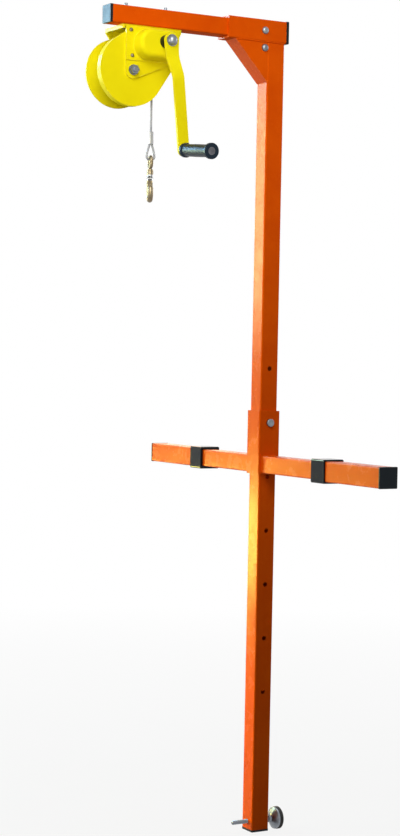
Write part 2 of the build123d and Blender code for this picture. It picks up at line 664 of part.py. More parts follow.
def gear_guard():
    outer = below_base(teardrop(DRUM, GUARD_DRUM_R, PINION, GUARD_PINION_R))
    inner = below_base(teardrop(DRUM, GUARD_DRUM_R - GUARD_SHEET, PINION, GUARD_PINION_R - GUARD_SHEET))
    pan = plate_y(outer, FRONT_INNER_Y - GUARD_DEPTH, FRONT_INNER_Y)
    pan -= plate_y(inner, FRONT_INNER_Y - GUARD_DEPTH, GUARD_INNER_Y)
    pan -= rod_y(AXLE_DIA / 2 + RUNNING_GAP, DRUM, GUARD_INNER_Y, FRONT_INNER_Y)
    pan -= rod_y(SHAFT_DIA / 2 + BUSH_WALL + RUNNING_GAP, PINION, GUARD_INNER_Y, FRONT_INNER_Y)
    pan -= rod_y(PAWL_PIN_DIA / 2 + RUNNING_GAP, PAWL, GUARD_INNER_Y, FRONT_INNER_Y)
    for at in COVER_SCREWS:
        pan -= rod_y(COVER_SCREW_DIA / 2 + RUNNING_GAP, at, GUARD_INNER_Y, FRONT_INNER_Y)
    relief = WINCH_BOLT_HEAD_AF * 0.58 + BOLT_RELIEF
    for x in WINCH_BOLT_XS:
        pan -= rod_z(relief, x, 0, BASE_UNDER - WINCH_BOLT_HEAD_HEIGHT - BOLT_RELIEF, BASE_UNDER)
    return pan


def rounded_box(bounds, rounds, inset):
    x0, x1, z0, z1 = bounds
    outline = Rectangle(x1 - x0 - 2 * inset, z1 - z0 - 2 * inset)
    for end, corner in zip((0, -1), rounds):
        outline = fillet(outline.vertices().group_by(Axis.X)[end], corner - inset)
    return Pos(PINION[0] + (x0 + x1) / 2, PINION[1] + (z0 + z1) / 2) * outline


def cover_dome(inset, y0, y1):
    base = Pos(0, y0, 0) * (Plane.XZ * rounded_box(COVER_BASE, COVER_BASE_ROUNDS, inset))
    face = Pos(0, y1, 0) * (Plane.XZ * rounded_box(COVER_FACE, COVER_FACE_ROUNDS, inset))
    dome_block = loft([base, face])
    return fillet(dome_block.faces().sort_by(Axis.Y)[-1].edges(), COVER_EDGE - inset)


def brake_cover():
    flange = plate_y(rectangle(SIDE_X0, SIDE_X1, COVER_BOTTOM, BASE_UNDER), FRAME_FRONT_Y, COVER_BACK_Y)
    cover = flange + cover_dome(0, FRAME_FRONT_Y, COVER_FRONT_Y)
    cover -= cover_dome(COVER_SHEET, FRAME_FRONT_Y, COVER_FRONT_Y - COVER_SHEET)
    cover -= rod_y(COLLAR_BUSH_R - COVER_SHEET, PINION, FRAME_FRONT_Y, COVER_FRONT_Y)
    for at in COVER_SCREWS:
        cover -= rod_y(COVER_SCREW_DIA / 2 + RUNNING_GAP, at, FRAME_FRONT_Y, COVER_BACK_Y)
    return cover


def cover_screws():
    screws = []
    for at in COVER_SCREWS:
        head = Pos(at[0], COVER_BACK_Y, at[1]) * lay_y(dome(COVER_SCREW_HEAD, COVER_SCREW_HIGH))
        screws.append(head + rod_y(COVER_SCREW_DIA / 2, at, GUARD_INNER_Y, COVER_BACK_Y))
    return Compound(screws)


def crank_bush():
    inner = HUB_BOSS_R + COLLAR_BUSH_GAP
    bush = ring_y(COLLAR_BUSH_R, inner, PINION, COVER_FRONT_Y, COVER_FRONT_Y + COLLAR_BUSH_PROUD)
    return bush + ring_y(COLLAR_BUSH_R - COVER_SHEET - RUNNING_GAP, inner, PINION,
                         COVER_FRONT_Y - COVER_SHEET, COVER_FRONT_Y)


# Gears and drum
def gear_outline(teeth, first_tooth):
    pitch_r = GEAR_MODULE * teeth / 2
    base_r = pitch_r * math.cos(PRESSURE_ANGLE)
    root_r = pitch_r - DEDENDUM * GEAR_MODULE
    tip_r = pitch_r + ADDENDUM * GEAR_MODULE
    half_pitch = math.pi / (2 * teeth) - BACKLASH / (4 * pitch_r)
    involute = math.tan(PRESSURE_ANGLE) - PRESSURE_ANGLE

    def half_angle(radius):
        alpha = math.acos(min(1.0, base_r / radius))
        return half_pitch + involute - (math.tan(alpha) - alpha)

    start_r = max(root_r, base_r)
    flank = [start_r, (start_r + pitch_r) / 2, pitch_r, (pitch_r + tip_r) / 2, tip_r]
    if base_r > root_r:
        flank.insert(0, root_r)
    corners = []
    for tooth in range(teeth):
        centre = first_tooth + tooth * 2 * math.pi / teeth
        rise = [(r, centre - half_angle(r)) for r in flank]
        fall = [(r, centre + half_angle(r)) for r in reversed(flank)]
        corners += [(r * math.cos(a), r * math.sin(a)) for r, a in rise + fall]
    return make_face(Polyline(*corners, close=True))


def drum_gear():
    gear = plate_y(Pos(*DRUM) * gear_outline(GEAR_TEETH, PINION_ANGLE), GEAR_Y0, GEAR_Y1)
    return gear - rod_y(HUB_R + RUNNING_GAP, DRUM, GEAR_Y0, GEAR_Y1)


BUSH_R = AXLE_DIA / 2 + RUNNING_GAP + DRUM_BUSH_WALL
HUB_R = BUSH_R + HUB_WALL
HUB_Y0 = REAR_INNER_Y + SIDE_GAP
HUB_Y1 = GUARD_INNER_Y - SIDE_GAP


def drum():
    body = rod_y(HUB_R, DRUM, HUB_Y0, HUB_Y1)
    body += rod_y(BARREL_R, DRUM, REAR_FLANGE_Y0, GEAR_Y0)
    body += rod_y(REAR_FLANGE_R, DRUM, REAR_FLANGE_Y0, ROPE_SPACE_Y0)
    body += rod_y(FRONT_FLANGE_R, DRUM, ROPE_SPACE_Y1, GEAR_Y0)
    return body - rod_y(BUSH_R + RUNNING_GAP, DRUM, HUB_Y0, HUB_Y1)


def drum_bush():
    return ring_y(BUSH_R, AXLE_DIA / 2 + RUNNING_GAP, DRUM, HUB_Y0, HUB_Y1)


def drum_axle():
    end = FRAME_FRONT_Y + WASHER_THICK + AXLE_NUT_HEIGHT + AXLE_TAIL
    axle = rod_y(AXLE_DIA / 2, DRUM, FRAME_REAR_Y, end)
    head = hexagon(AXLE_HEAD_AF, AXLE_HEAD_HEIGHT)
    axle += Pos(DRUM_X, FRAME_REAR_Y, DRUM_Z) * Rot(90, 0, 0) * head
    return chamfer(axle.faces().sort_by(Axis.Y)[-1].edges(), EDGE_BREAK)


def drum_axle_nut():
    nut = hexagon(AXLE_NUT_AF, AXLE_NUT_HEIGHT)
    nut = Pos(DRUM_X, FRAME_FRONT_Y + WASHER_THICK, DRUM_Z) * lay_y(nut)
    nut += rod_y(WASHER_DIA / 2, DRUM, FRAME_FRONT_Y, FRAME_FRONT_Y + WASHER_THICK)
    bore_end = FRAME_FRONT_Y + WASHER_THICK + AXLE_NUT_HEIGHT
    return nut - rod_y(AXLE_DIA / 2 + RUNNING_GAP, DRUM, FRAME_FRONT_Y, bore_end)


def rope_core():
    outer = ROPE_RADIUS - ROPE_DIA / 2 - CORE_GAP
    inner = BARREL_R + RUNNING_GAP
    step_y = ROPE_FALL_Y - ROPE_TURNS * ROPE_PITCH - ROPE_DIA
    profile = Polyline((inner, ROPE_SPACE_Y0), (CORE_REAR_R, ROPE_SPACE_Y0), (outer, step_y),
                       (outer, ROPE_SPACE_Y1), (inner, ROPE_SPACE_Y1), close=True)
    return Pos(DRUM_X, 0, DRUM_Z) * revolve(make_face(profile), Axis.Y)


# Wound wire: a helix in biarcs of half a turn, with a straight end of one diameter at each side
def coil_path(point, tangent, start, turns, straight):
    angles = [start + i * math.pi for i in range(round(turns * 2) + 1)]
    places = [Vector(*point(a)) for a in angles]
    ways = [Vector(*tangent(a)).normalized() for a in angles]
    ways[0] = Vector(ways[0].X, 0, ways[0].Z).normalized()
    ways[-1] = Vector(ways[-1].X, 0, ways[-1].Z).normalized()
    edges = [Line(places[0] - ways[0] * straight, places[0])]
    for p, q, tp, tq in zip(places, places[1:], ways, ways[1:]):
        chord, both = q - p, tp + tq
        spread = 2 * (1 - tp.dot(tq))
        reach = (-chord.dot(both) + math.sqrt(chord.dot(both) ** 2 + spread * chord.dot(chord))) / spread
        handle_p, handle_q = p + tp * reach, q - tq * reach
        middle = (handle_p + handle_q) * 0.5
        edges.append(TangentArc(p, middle, tangent=tp))
        edges.append(TangentArc(middle, q, tangent=(handle_q - handle_p).normalized()))
    edges.append(Line(places[-1], places[-1] + ways[-1] * straight))
    return Wire(edges)


def coil_gap(path, wire, turn_length):
    count = int(path.length)
    points = [path @ (i / count) for i in range(count + 1)]
    apart = int(turn_length * 0.6 * count / path.length)
    least = min((points[i] - points[j]).length for i in range(count) for j in range(i + apart, count + 1))
    return least - wire


def rope_point(angle):
    y = ROPE_FALL_Y - (math.pi - angle) * ROPE_PITCH / (2 * math.pi)
    return (DRUM_X + ROPE_RADIUS * math.cos(angle), y, DRUM_Z + ROPE_RADIUS * math.sin(angle))


def rope_tangent(angle):
    return (-ROPE_RADIUS * math.sin(angle), ROPE_PITCH / (2 * math.pi), ROPE_RADIUS * math.cos(angle))


def rope_winding():
    path = coil_path(rope_point, rope_tangent, math.pi - 2 * math.pi * ROPE_TURNS, ROPE_TURNS, ROPE_DIA)
    print("rope winding least gap", round(coil_gap(path, ROPE_DIA, 2 * math.pi * ROPE_RADIUS), 2), "mm")
    return sweep(Plane(origin=path @ 0, z_dir=path % 0) * Circle(ROPE_DIA / 2), path)


# Pinion shaft and load brake
def pinion_shaft():
    shaft = rod_y(SHAFT_DIA / 2, PINION, FRAME_REAR_Y - SHAFT_TAIL, CRANK_Y)
    first_tooth = PINION_ANGLE + math.pi + math.pi / PINION_TEETH
    teeth = Pos(*PINION) * gear_outline(PINION_TEETH, first_tooth)
    shaft += plate_y(teeth, GEAR_Y0 - PINION_EXTRA / 2, GEAR_Y1 + PINION_EXTRA / 2)
    return shaft - rod_y(CRANK_BOLT_DIA / 2 + RUNNING_GAP, PINION, CRANK_Y - CRANK_BOLT_DEPTH, CRANK_Y)


def pinion_bushes():
    bore = SHAFT_DIA / 2 + RUNNING_GAP
    outer = SHAFT_DIA / 2 + BUSH_WALL
    front = ring_y(outer, bore, PINION, GUARD_INNER_Y, FRAME_FRONT_Y)
    front += ring_y(outer + BUSH_LIP, bore, PINION, GUARD_INNER_Y - BUSH_FLANGE, GUARD_INNER_Y)
    rear = ring_y(outer, bore, PINION, FRAME_REAR_Y, REAR_INNER_Y)
    rear += ring_y(outer + BUSH_LIP, bore, PINION, REAR_INNER_Y, REAR_INNER_Y + BUSH_FLANGE)
    return Compound([front, rear])


def brake_disc():
    return ring_y(BRAKE_DISC_R, SHAFT_DIA / 2 + RUNNING_GAP, PINION, BRAKE_START, LINING_A)


def friction_linings():
    bore = SPIGOT_R + RUNNING_GAP
    return Compound([ring_y(LINING_R, bore, PINION, y, y + LINING_THICK) for y in (LINING_A, LINING_B)])


def ratchet_outline():
    corners = []
    step = 2 * math.pi / RATCHET_TEETH
    root = RATCHET_R - RATCHET_DEPTH
    for tooth in range(RATCHET_TEETH):
        foot, crest, back = RATCHET_FACE, 2 * RATCHET_FACE, 1 + RATCHET_FACE / 2
        for radius, part in ((root, foot), (RATCHET_R, crest), (root, back)):
            at = PAWL_TIP_ANGLE + (tooth + part) * step
            corners.append((radius * math.cos(at), radius * math.sin(at)))
    return make_face(Polyline(*corners, close=True))


def ratchet_wheel():
    wheel = plate_y(Pos(*PINION) * ratchet_outline(), RATCHET_Y, RATCHET_Y + RATCHET_THICK)
    return wheel - rod_y(SPIGOT_R + RUNNING_GAP, PINION, RATCHET_Y, RATCHET_Y + RATCHET_THICK)


def crank_hub():
    hub = rod_y(SPIGOT_R, PINION, LINING_A, HUB_FLANGE_Y)
    hub += rod_y(LINING_R, PINION, HUB_FLANGE_Y, HUB_FLANGE_Y + BRAKE_DISC_THICK)
    hub += rod_y(HUB_BOSS_R, PINION, HUB_FLANGE_Y, CRANK_Y)
    hub -= rod_y(SHAFT_DIA / 2 + RUNNING_GAP, PINION, LINING_A, CRANK_Y)
    return hub


def pawl():
    tip_x = PINION_X + PAWL_TIP_R * math.cos(PAWL_TIP_ANGLE)
    tip_z = PINION_Z + PAWL_TIP_R * math.sin(PAWL_TIP_ANGLE)
    outline = teardrop(PAWL, PAWL_BOSS_R, (tip_x, tip_z), PAWL_NOSE_R)
    outline -= offset(Pos(*PINION) * ratchet_outline(), SIDE_GAP, kind=Kind.INTERSECTION)
    lever = plate_y(outline, PAWL_Y0, PAWL_Y1)
    return lever - rod_y(PAWL_PIN_DIA / 2 + RUNNING_GAP, PAWL, PAWL_Y0, PAWL_Y1)


def pawl_pin():
    end = PAWL_Y1 + SIDE_GAP + SPRING_PITCH * SPRING_TURNS + 2 * SPRING_WIRE
    pin = rod_y(PAWL_PIN_DIA / 2, PAWL, GUARD_INNER_Y, end)
    return pin + rod_y(PAWL_BOSS_R, PAWL, FRAME_FRONT_Y, PAWL_Y0 - SIDE_GAP)


def spring_point(angle):
    y = SPRING_Y + angle * SPRING_PITCH / (2 * math.pi)
    return (PAWL[0] + SPRING_R * math.cos(angle), y, PAWL[1] + SPRING_R * math.sin(angle))


def spring_tangent(angle):
    return (-SPRING_R * math.sin(angle), SPRING_PITCH / (2 * math.pi), SPRING_R * math.cos(angle))


def pawl_spring():
    path = coil_path(spring_point, spring_tangent, 0.0, SPRING_TURNS, SPRING_WIRE)
    return sweep(Plane(origin=path @ 0, z_dir=path % 0) * Circle(SPRING_WIRE / 2), path)


# Crank with its turning grip; it hangs down, leaning a little towards the mast
def leaned(shape):
    axis = Pos(PINION[0], 0, PINION[1])
    return axis * Rot(0, CRANK_LEAN, 0) * Pos(-PINION[0], 0, -PINION[1]) * shape


def grip_rod(radius, start, end):
    return GRIP_FRAME * Pos(0, 0, start) * rod(radius, end - start)


def crank_arm():
    x, z = PINION
    wide = CRANK_HUB_WIDTH / 2
    half = CRANK_WIDTH / 2
    end = z - CRANK_LENGTH
    lower_y = CRANK_MID_Y + CRANK_BEND_OUT
    path = FilletPolyline((x, CRANK_MID_Y, z + wide), (x, CRANK_MID_Y, z - CRANK_NECK),
                          (x, lower_y, z - CRANK_BEND_DROP), (x, lower_y, end - half), radius=CRANK_BEND_R)
    start = Plane(origin=path @ 0, x_dir=(1, 0, 0), z_dir=path % 0)
    section = start * Rectangle(CRANK_HUB_WIDTH, CRANK_THICK)
    neck = z - CRANK_BEND_DROP
    outline = make_face(Polyline((x - wide, z), (x + wide, z), (x + half, neck), (x + half, end),
                                 (x - half, end), (x - half, neck), close=True))
    outline += Pos(x, z) * Circle(wide) + Pos(x, end) * Circle(half)
    bar = sweep(section, path) & plate_y(outline, CRANK_Y - CRANK_THICK, lower_y + CRANK_THICK)
    bar -= rod_y(CRANK_BOLT_DIA / 2 + RUNNING_GAP, PINION, CRANK_Y, CRANK_Y + CRANK_THICK)
    return leaned(bar - grip_rod(SPINDLE_DIA / 2 + RUNNING_GAP, -2 * CRANK_THICK, 2 * CRANK_THICK))


def crank_bolt():
    face = CRANK_Y + CRANK_THICK
    bolt = rod_y(CRANK_BOLT_DIA / 2, PINION, CRANK_Y - CRANK_BOLT_DEPTH, face + WASHER_THICK)
    bolt += rod_y(CRANK_BOLT_FLANGE / 2, PINION, face, face + WASHER_THICK)
    cap = dome(CRANK_BOLT_FLANGE - 2 * WASHER_THICK, CRANK_BOLT_DOME)
    return bolt + Pos(PINION[0], face + WASHER_THICK, PINION[1]) * lay_y(cap)


def grip_spindle():
    seat = GRIP_FINISH - SPINDLE_HEAD_HEIGHT
    spindle = grip_rod(SPINDLE_DIA / 2, -CRANK_THICK / 2, seat + SIDE_GAP)
    spindle += grip_rod(SPINDLE_HEAD / 2, seat + SIDE_GAP, GRIP_FINISH)
    face = GRIP_FOOT[1] + CRANK_THICK / 2
    collar = grip_rod(GRIP_COLLAR_R, 0, GRIP_START - SIDE_GAP)
    collar &= rod_y(2 * GRIP_COLLAR_R, (GRIP_FOOT[0], GRIP_FOOT[2]), face, face + GRIP_START)
    return leaned(spindle + collar)


def crank_grip():
    bore = SPINDLE_DIA / 2 + RUNNING_GAP
    recess = SPINDLE_HEAD / 2 + SIDE_GAP
    low, high = GRIP_START, GRIP_FINISH
    low_neck = low + GRIP_FLANGE + GRIP_TAPER
    high_neck = high - GRIP_FLANGE - GRIP_TAPER
    seat = high - SPINDLE_HEAD_HEIGHT
    profile = make_face(Curve() + [
        Polyline((bore, low), (GRIP_INNER_R, low), (GRIP_INNER_R, low + GRIP_FLANGE), (GRIP_R, low_neck)),
        ThreePointArc((GRIP_R, low_neck), (GRIP_R + GRIP_SWELL, (low + high) / 2), (GRIP_R, high_neck)),
        Polyline((GRIP_R, high_neck), (GRIP_OUTER_R, high - GRIP_FLANGE), (GRIP_OUTER_R, high)),
        Polyline((GRIP_OUTER_R, high), (recess, high), (recess, seat), (bore, seat), (bore, low)),
    ])
    return leaned(GRIP_FRAME * revolve(Plane.XZ * profile, Axis.Z))


# Rope end, swivel and hook
def rope_fall():
    return rod_z(ROPE_DIA / 2, ROPE_FALL_X, ROPE_FALL_Y, FERRULE_TOP, FERRULE_TOP + ROPE_FALL_LENGTH)


def rope_ferrule():
    section = RectangleRounded(FERRULE_WIDTH, FERRULE_THICK, FERRULE_THICK * 0.45)
    sleeve = extrude(section, FERRULE_LENGTH)
    sleeve = fillet(sleeve.edges().group_by(Axis.Z)[0] + sleeve.edges().group_by(Axis.Z)[-1], EDGE_BREAK)
    return Pos(ROPE_FALL_X, ROPE_FALL_Y, FERRULE_TOP - FERRULE_LENGTH) * sleeve


def rope_eye():
    top = (EYE_DROP, EYE_SPREAD)
    reach = math.hypot(*top)
    turn = math.asin(EYE_RADIUS / reach) + math.atan2(EYE_SPREAD, EYE_DROP)
    touch = (EYE_RADIUS * math.cos(turn), EYE_RADIUS * math.sin(turn))
    bottom = FERRULE_TOP - FERRULE_LENGTH

    def at(u, v):
        return (ROPE_FALL_X + u, ROPE_FALL_Y, EYE_CENTRE_Z + v)

    path = Wire([
        Line(at(-EYE_SPREAD, bottom - EYE_CENTRE_Z), at(-touch[0], touch[1])),
        ThreePointArc(at(-touch[0], touch[1]), at(0, -EYE_RADIUS), at(*touch)),
        Line(at(*touch), at(EYE_SPREAD, bottom - EYE_CENTRE_Z)),
    ])
    loop = sweep(Plane(origin=path @ 0, z_dir=path % 0) * Circle(ROPE_DIA / 2), path)
    return loop & rod_z(2 * EYE_RADIUS, ROPE_FALL_X, ROPE_FALL_Y, EYE_CENTRE_Z - 2 * EYE_RADIUS, bottom)


def at_hook(shape):
    return Pos(ROPE_FALL_X, ROPE_FALL_Y, 0) * Rot(0, 0, HOOK_TURN) * shape


def hook_bow():
    half = Torus(BOW_RADIUS, BOW_WIRE_R, major_angle=180, align=(Align.CENTER, Align.MIN, Align.CENTER))
    ring = Pos(0, 0, BOW_Z) * Rot(90, 0, 0) * half + Pos(0, 0, BOW_LOW_Z) * Rot(-90, 0, 0) * half
    for x in (-BOW_RADIUS, BOW_RADIUS):
        ring += rod_z(BOW_WIRE_R, x, 0, BOW_LOW_Z, BOW_Z)
    ring = Pos(ROPE_FALL_X, ROPE_FALL_Y, 0) * Rot(0, 0, BOW_TURN) * ring
    neck_top = BOW_LOW_Z - BOW_RADIUS
    head_z = HOOK_TOP_Z - HOOK_COLLAR_HEIGHT - SIDE_GAP
    pin = rod_z(SWIVEL_PIN_R, ROPE_FALL_X, ROPE_FALL_Y, head_z - SWIVEL_HEAD_HEIGHT, neck_top)
    pin += rod_z(SWIVEL_HEAD_R, ROPE_FALL_X, ROPE_FALL_Y, head_z - SWIVEL_HEAD_HEIGHT, head_z)
    pin += rod_z(SWIVEL_HEAD_R, ROPE_FALL_X, ROPE_FALL_Y, HOOK_TOP_Z + SIDE_GAP, HOOK_TOP_Z + SWIVEL_NECK)
    return ring + pin


HOOK_BOWL_Z = HOOK_TOP_Z - HOOK_BOWL_DROP
LATCH_PIVOT = (-LATCH_IN, HOOK_TOP_Z - LATCH_DROP)
LATCH_INNER = LATCH_LUG_WIDTH / 2 + SIDE_GAP
LATCH_OUTER = LATCH_INNER + LATCH_SHEET


def hook_tip():
    angle = math.radians(HOOK_TIP_ANGLE)
    return (HOOK_BOWL_R * math.cos(angle), HOOK_BOWL_Z + HOOK_BOWL_R * math.sin(angle))


def hook_body():
    shoulder_z = HOOK_TOP_Z - HOOK_COLLAR_HEIGHT / 2
    tip = hook_tip()
    path = Wire([
        Line((-HOOK_BOWL_R, 0, shoulder_z), (-HOOK_BOWL_R, 0, HOOK_BOWL_Z)),
        ThreePointArc((-HOOK_BOWL_R, 0, HOOK_BOWL_Z), (0, 0, HOOK_BOWL_Z - HOOK_BOWL_R),
                      (tip[0], 0, tip[1])),
    ])
    body = sweep(Plane(origin=path @ 0, z_dir=path % 0) * Circle(HOOK_WIRE_R), path)
    body += Pos(tip[0], 0, tip[1]) * Sphere(HOOK_WIRE_R)
    body += Pos(-HOOK_BOWL_R, 0, shoulder_z) * Sphere(HOOK_WIRE_R)
    bridge = Pos(-HOOK_BOWL_R / 2, 0, shoulder_z) * Box(HOOK_BOWL_R, 1.5 * HOOK_WIRE_R, HOOK_COLLAR_HEIGHT)
    body += bridge
    body += rod_z(HOOK_COLLAR_R, 0, 0, HOOK_TOP_Z - HOOK_COLLAR_HEIGHT, HOOK_TOP_Z)
    body -= rod_z(SWIVEL_PIN_R + RUNNING_GAP, 0, 0, HOOK_TOP_Z - HOOK_COLLAR_HEIGHT, HOOK_TOP_Z)
    lug = Pos(*LATCH_PIVOT) * Circle(LATCH_LUG_R)
    lug_z = LATCH_PIVOT[1]
    lug += rectangle(-HOOK_BOWL_R, LATCH_PIVOT[0], lug_z - LATCH_LUG_R, lug_z + LATCH_LUG_R)
    body += plate_y(lug, -LATCH_LUG_WIDTH / 2, LATCH_LUG_WIDTH / 2)
    return at_hook(body - rod_y(LATCH_PIN_DIA / 2 + RUNNING_GAP, LATCH_PIVOT, -LATCH_OUTER, LATCH_OUTER))


def latch_pin():
    reach = LATCH_OUTER + LATCH_PIN_TAIL
    return at_hook(rod_y(LATCH_PIN_DIA / 2, LATCH_PIVOT, -reach, reach))


def hook_latch():
    rest = math.radians(LATCH_REST_ANGLE)
    end = (LATCH_REST_R * math.cos(rest), HOOK_BOWL_Z + LATCH_REST_R * math.sin(rest))
    span = (end[0] - LATCH_PIVOT[0], end[1] - LATCH_PIVOT[1])
    length = math.hypot(*span)
    way = (span[0] / length, span[1] / length)
    start = LATCH_EAR_R + LATCH_SHEET

    def along(s, t):
        return (LATCH_PIVOT[0] + s * way[0] - t * way[1], LATCH_PIVOT[1] + s * way[1] + t * way[0])

    half = LATCH_SHEET / 2
    corners = (along(start, -half), along(length, -half), along(length, half), along(start, half))
    latch = plate_y(make_face(Polyline(*corners, close=True)), -LATCH_OUTER, LATCH_OUTER)
    ear = teardrop(LATCH_PIVOT, LATCH_EAR_R, along(2 * start, 0), LATCH_SHEET)
    latch += plate_y(ear, LATCH_INNER, LATCH_OUTER)
    latch += plate_y(ear, -LATCH_OUTER, -LATCH_INNER)
    return at_hook(latch - rod_y(LATCH_PIN_DIA / 2 + RUNNING_GAP, LATCH_PIVOT, -LATCH_OUTER, LATCH_OUTER))


def save(node, shape):
    export_step(shape, f"parts/{node}.step")


SIDES = (("left", -1), ("right", 1))

save("mast_tube", mast_tube())
save("mast_bottom_plug", mast_bottom_plug())
save("head_gusset", head_gusset())
save("arm_sleeve", arm_sleeve())
save("sleeve_end_cap", sleeve_end_cap())
save("arm_lock_bolt", arm_lock_bolt())
save("gusset_rivet", gusset_rivet())
save("foot_nut", foot_nut())
save("foot_screw", foot_screw())
save("foot_disc", foot_disc())
save("foot_rubber", foot_rubber())
save("carriage_sleeve", carriage_sleeve())
save("carriage_pin", carriage_pin())
save("pin_clip", pin_clip())
for name, side in SIDES:
    save(f"crossbar_stub_{name}", crossbar_stub(side))
    save(f"extension_tube_{name}", extension_tube(side))
    save(f"extension_cap_{name}", extension_cap(side))
    save(f"lock_collar_{name}", lock_collar(side))
    save(f"collar_screw_{name}", collar_screw(side))
save("arm_tube", arm_tube())
save("arm_end_plug", arm_end_plug())
save("winch_bolts", winch_bolts())
save("winch_nuts", winch_nuts())
save("winch_frame", winch_frame())
save("gear_guard", gear_guard())
save("brake_cover", brake_cover())
save("cover_screws", cover_screws())
save("crank_bush", crank_bush())
save("drum_gear", drum_gear())
save("drum", drum())
save("drum_bush", drum_bush())
save("drum_axle", drum_axle())
save("drum_axle_nut", drum_axle_nut())
save("rope_core", rope_core())
save("rope_winding", rope_winding())
save("pinion_shaft", pinion_shaft())
save("pinion_bushes", pinion_bushes())
save("brake_disc", brake_disc())
save("friction_linings", friction_linings())
save("ratchet_wheel", ratchet_wheel())
save("crank_hub", crank_hub())
save("pawl", pawl())
save("pawl_pin", pawl_pin())
save("pawl_spring", pawl_spring())
save("crank_arm", crank_arm())
save("crank_bolt", crank_bolt())
save("grip_spindle", grip_spindle())
save("crank_grip", crank_grip())
save("rope_fall", rope_fall())
save("rope_ferrule", rope_ferrule())
save("rope_eye", rope_eye())
save("hook_bow", hook_bow())
save("hook_body", hook_body())
save("latch_pin", latch_pin())
save("hook_latch", hook_latch())
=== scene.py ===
import json
import math

import bpy
from mathutils import Matrix, Vector


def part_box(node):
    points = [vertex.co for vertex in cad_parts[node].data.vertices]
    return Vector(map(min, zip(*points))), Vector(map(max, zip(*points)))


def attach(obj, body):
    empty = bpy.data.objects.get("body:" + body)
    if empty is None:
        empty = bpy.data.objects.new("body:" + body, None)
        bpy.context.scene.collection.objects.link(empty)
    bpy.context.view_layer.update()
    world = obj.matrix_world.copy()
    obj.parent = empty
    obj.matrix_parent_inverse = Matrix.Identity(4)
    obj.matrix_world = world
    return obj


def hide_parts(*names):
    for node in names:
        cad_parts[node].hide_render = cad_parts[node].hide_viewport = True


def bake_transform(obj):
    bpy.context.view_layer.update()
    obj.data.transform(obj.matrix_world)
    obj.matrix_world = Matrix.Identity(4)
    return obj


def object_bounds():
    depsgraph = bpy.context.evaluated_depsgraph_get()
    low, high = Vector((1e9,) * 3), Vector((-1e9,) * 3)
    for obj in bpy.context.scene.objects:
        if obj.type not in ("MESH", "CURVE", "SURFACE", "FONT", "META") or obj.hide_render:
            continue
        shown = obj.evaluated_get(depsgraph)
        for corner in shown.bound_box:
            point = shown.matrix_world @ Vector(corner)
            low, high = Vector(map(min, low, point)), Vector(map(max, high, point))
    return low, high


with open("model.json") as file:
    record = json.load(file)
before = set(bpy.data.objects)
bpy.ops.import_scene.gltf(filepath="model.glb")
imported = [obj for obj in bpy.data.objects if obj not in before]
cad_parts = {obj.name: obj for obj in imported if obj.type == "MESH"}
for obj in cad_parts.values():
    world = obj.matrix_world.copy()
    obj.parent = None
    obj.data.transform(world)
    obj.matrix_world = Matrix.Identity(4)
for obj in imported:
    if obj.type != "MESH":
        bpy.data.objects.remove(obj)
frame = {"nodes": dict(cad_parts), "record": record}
CAD_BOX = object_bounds()
NODES = frame["nodes"]
SLOT_OF = {row["node"]: row["material_slot"] for row in frame["record"]["subparts"]}
SCENE = bpy.context.scene
SCENE.view_settings.view_transform = "Standard"

# Camera, at the photograph's viewing angle
CAMERA_PLACE = Vector((2.296, 3.711, 0.276))
CAMERA_YAW = math.radians(29.81)
CAMERA_PITCH = math.radians(1.92)
CAMERA_ROLL = math.radians(1.12)
IMAGE_HEIGHT = 836
FOCAL_PIXELS = 1880.7
SENSOR_HEIGHT = 24.0

# Lamps
WHITE = (1.0, 1.0, 1.0)
WARM = (0.82, 1.0, 0.58)
COOL = (0.40, 0.72, 1.0)
GOLD = (1.0, 0.84, 0.16)
SAND = (1.0, 0.92, 0.62)
AMBER = (1.0, 0.60, 0.30)
KEY_SPREAD = math.radians(80)
FILL_SPREAD = math.radians(60)
LOW_SPREAD = math.radians(42)
TOE_SPREAD = math.radians(36)
WIDE = math.pi
KEY_PLACE = Vector((1.25, 1.5, 2.1))
FILL_PLACE = Vector((1.55, 1.85, 0.65))
SIDE_PLACE = Vector((2.6, -0.6, 0.3))
STRIP_PLACE = Vector((1.72, -2.7, 0.85))
HIGH_PLACE = Vector((1.65, -2.7, 1.85))
BACK_PLACE = Vector((-2.4, -0.3, 1.3))
REAR_PLACE = Vector((-0.9, -2.6, 1.0))
LOW_PLACE = Vector((1.45, -2.7, -0.44))
TOE_PLACE = Vector((1.9, -0.9, -0.4))
ABOVE = Vector((0.2, 0.0, 1.2))
HEAD = Vector((0.15, 0.0, 1.1))
WINCH = Vector((0.35, 0.0, 0.9))
MIDDLE = Vector((0.0, 0.0, 0.2))
FOOT = Vector((0.0, 0.0, -0.4))
TOE = Vector((0.0, 0.0, -0.6))

# Each lamp has a name, place, target, width, height, watts, colour and spread
LAMPS = (
    ("key", KEY_PLACE, ABOVE, 1.5, 1.5, 10.0, WHITE, KEY_SPREAD),
    ("fill", FILL_PLACE, WINCH, 0.9, 0.9, 2.9, SAND, FILL_SPREAD),
    ("side", SIDE_PLACE, MIDDLE, 1.6, 2.0, 24.0, WHITE, WIDE),
    ("strip", STRIP_PLACE, HEAD, 0.45, 0.9, 40.0, WARM, WIDE),
    ("high", HIGH_PLACE, HEAD, 0.5, 0.9, 64.0, COOL, WIDE),
    ("back", BACK_PLACE, MIDDLE, 1.5, 1.5, 36.0, WHITE, WIDE),
    ("rear", REAR_PLACE, WINCH, 1.0, 1.0, 20.0, AMBER, WIDE),
    ("low", LOW_PLACE, FOOT, 0.4, 0.36, 2.6, GOLD, LOW_SPREAD),
    ("toe", TOE_PLACE, TOE, 0.6, 0.6, 1.1, GOLD, TOE_SPREAD),
)

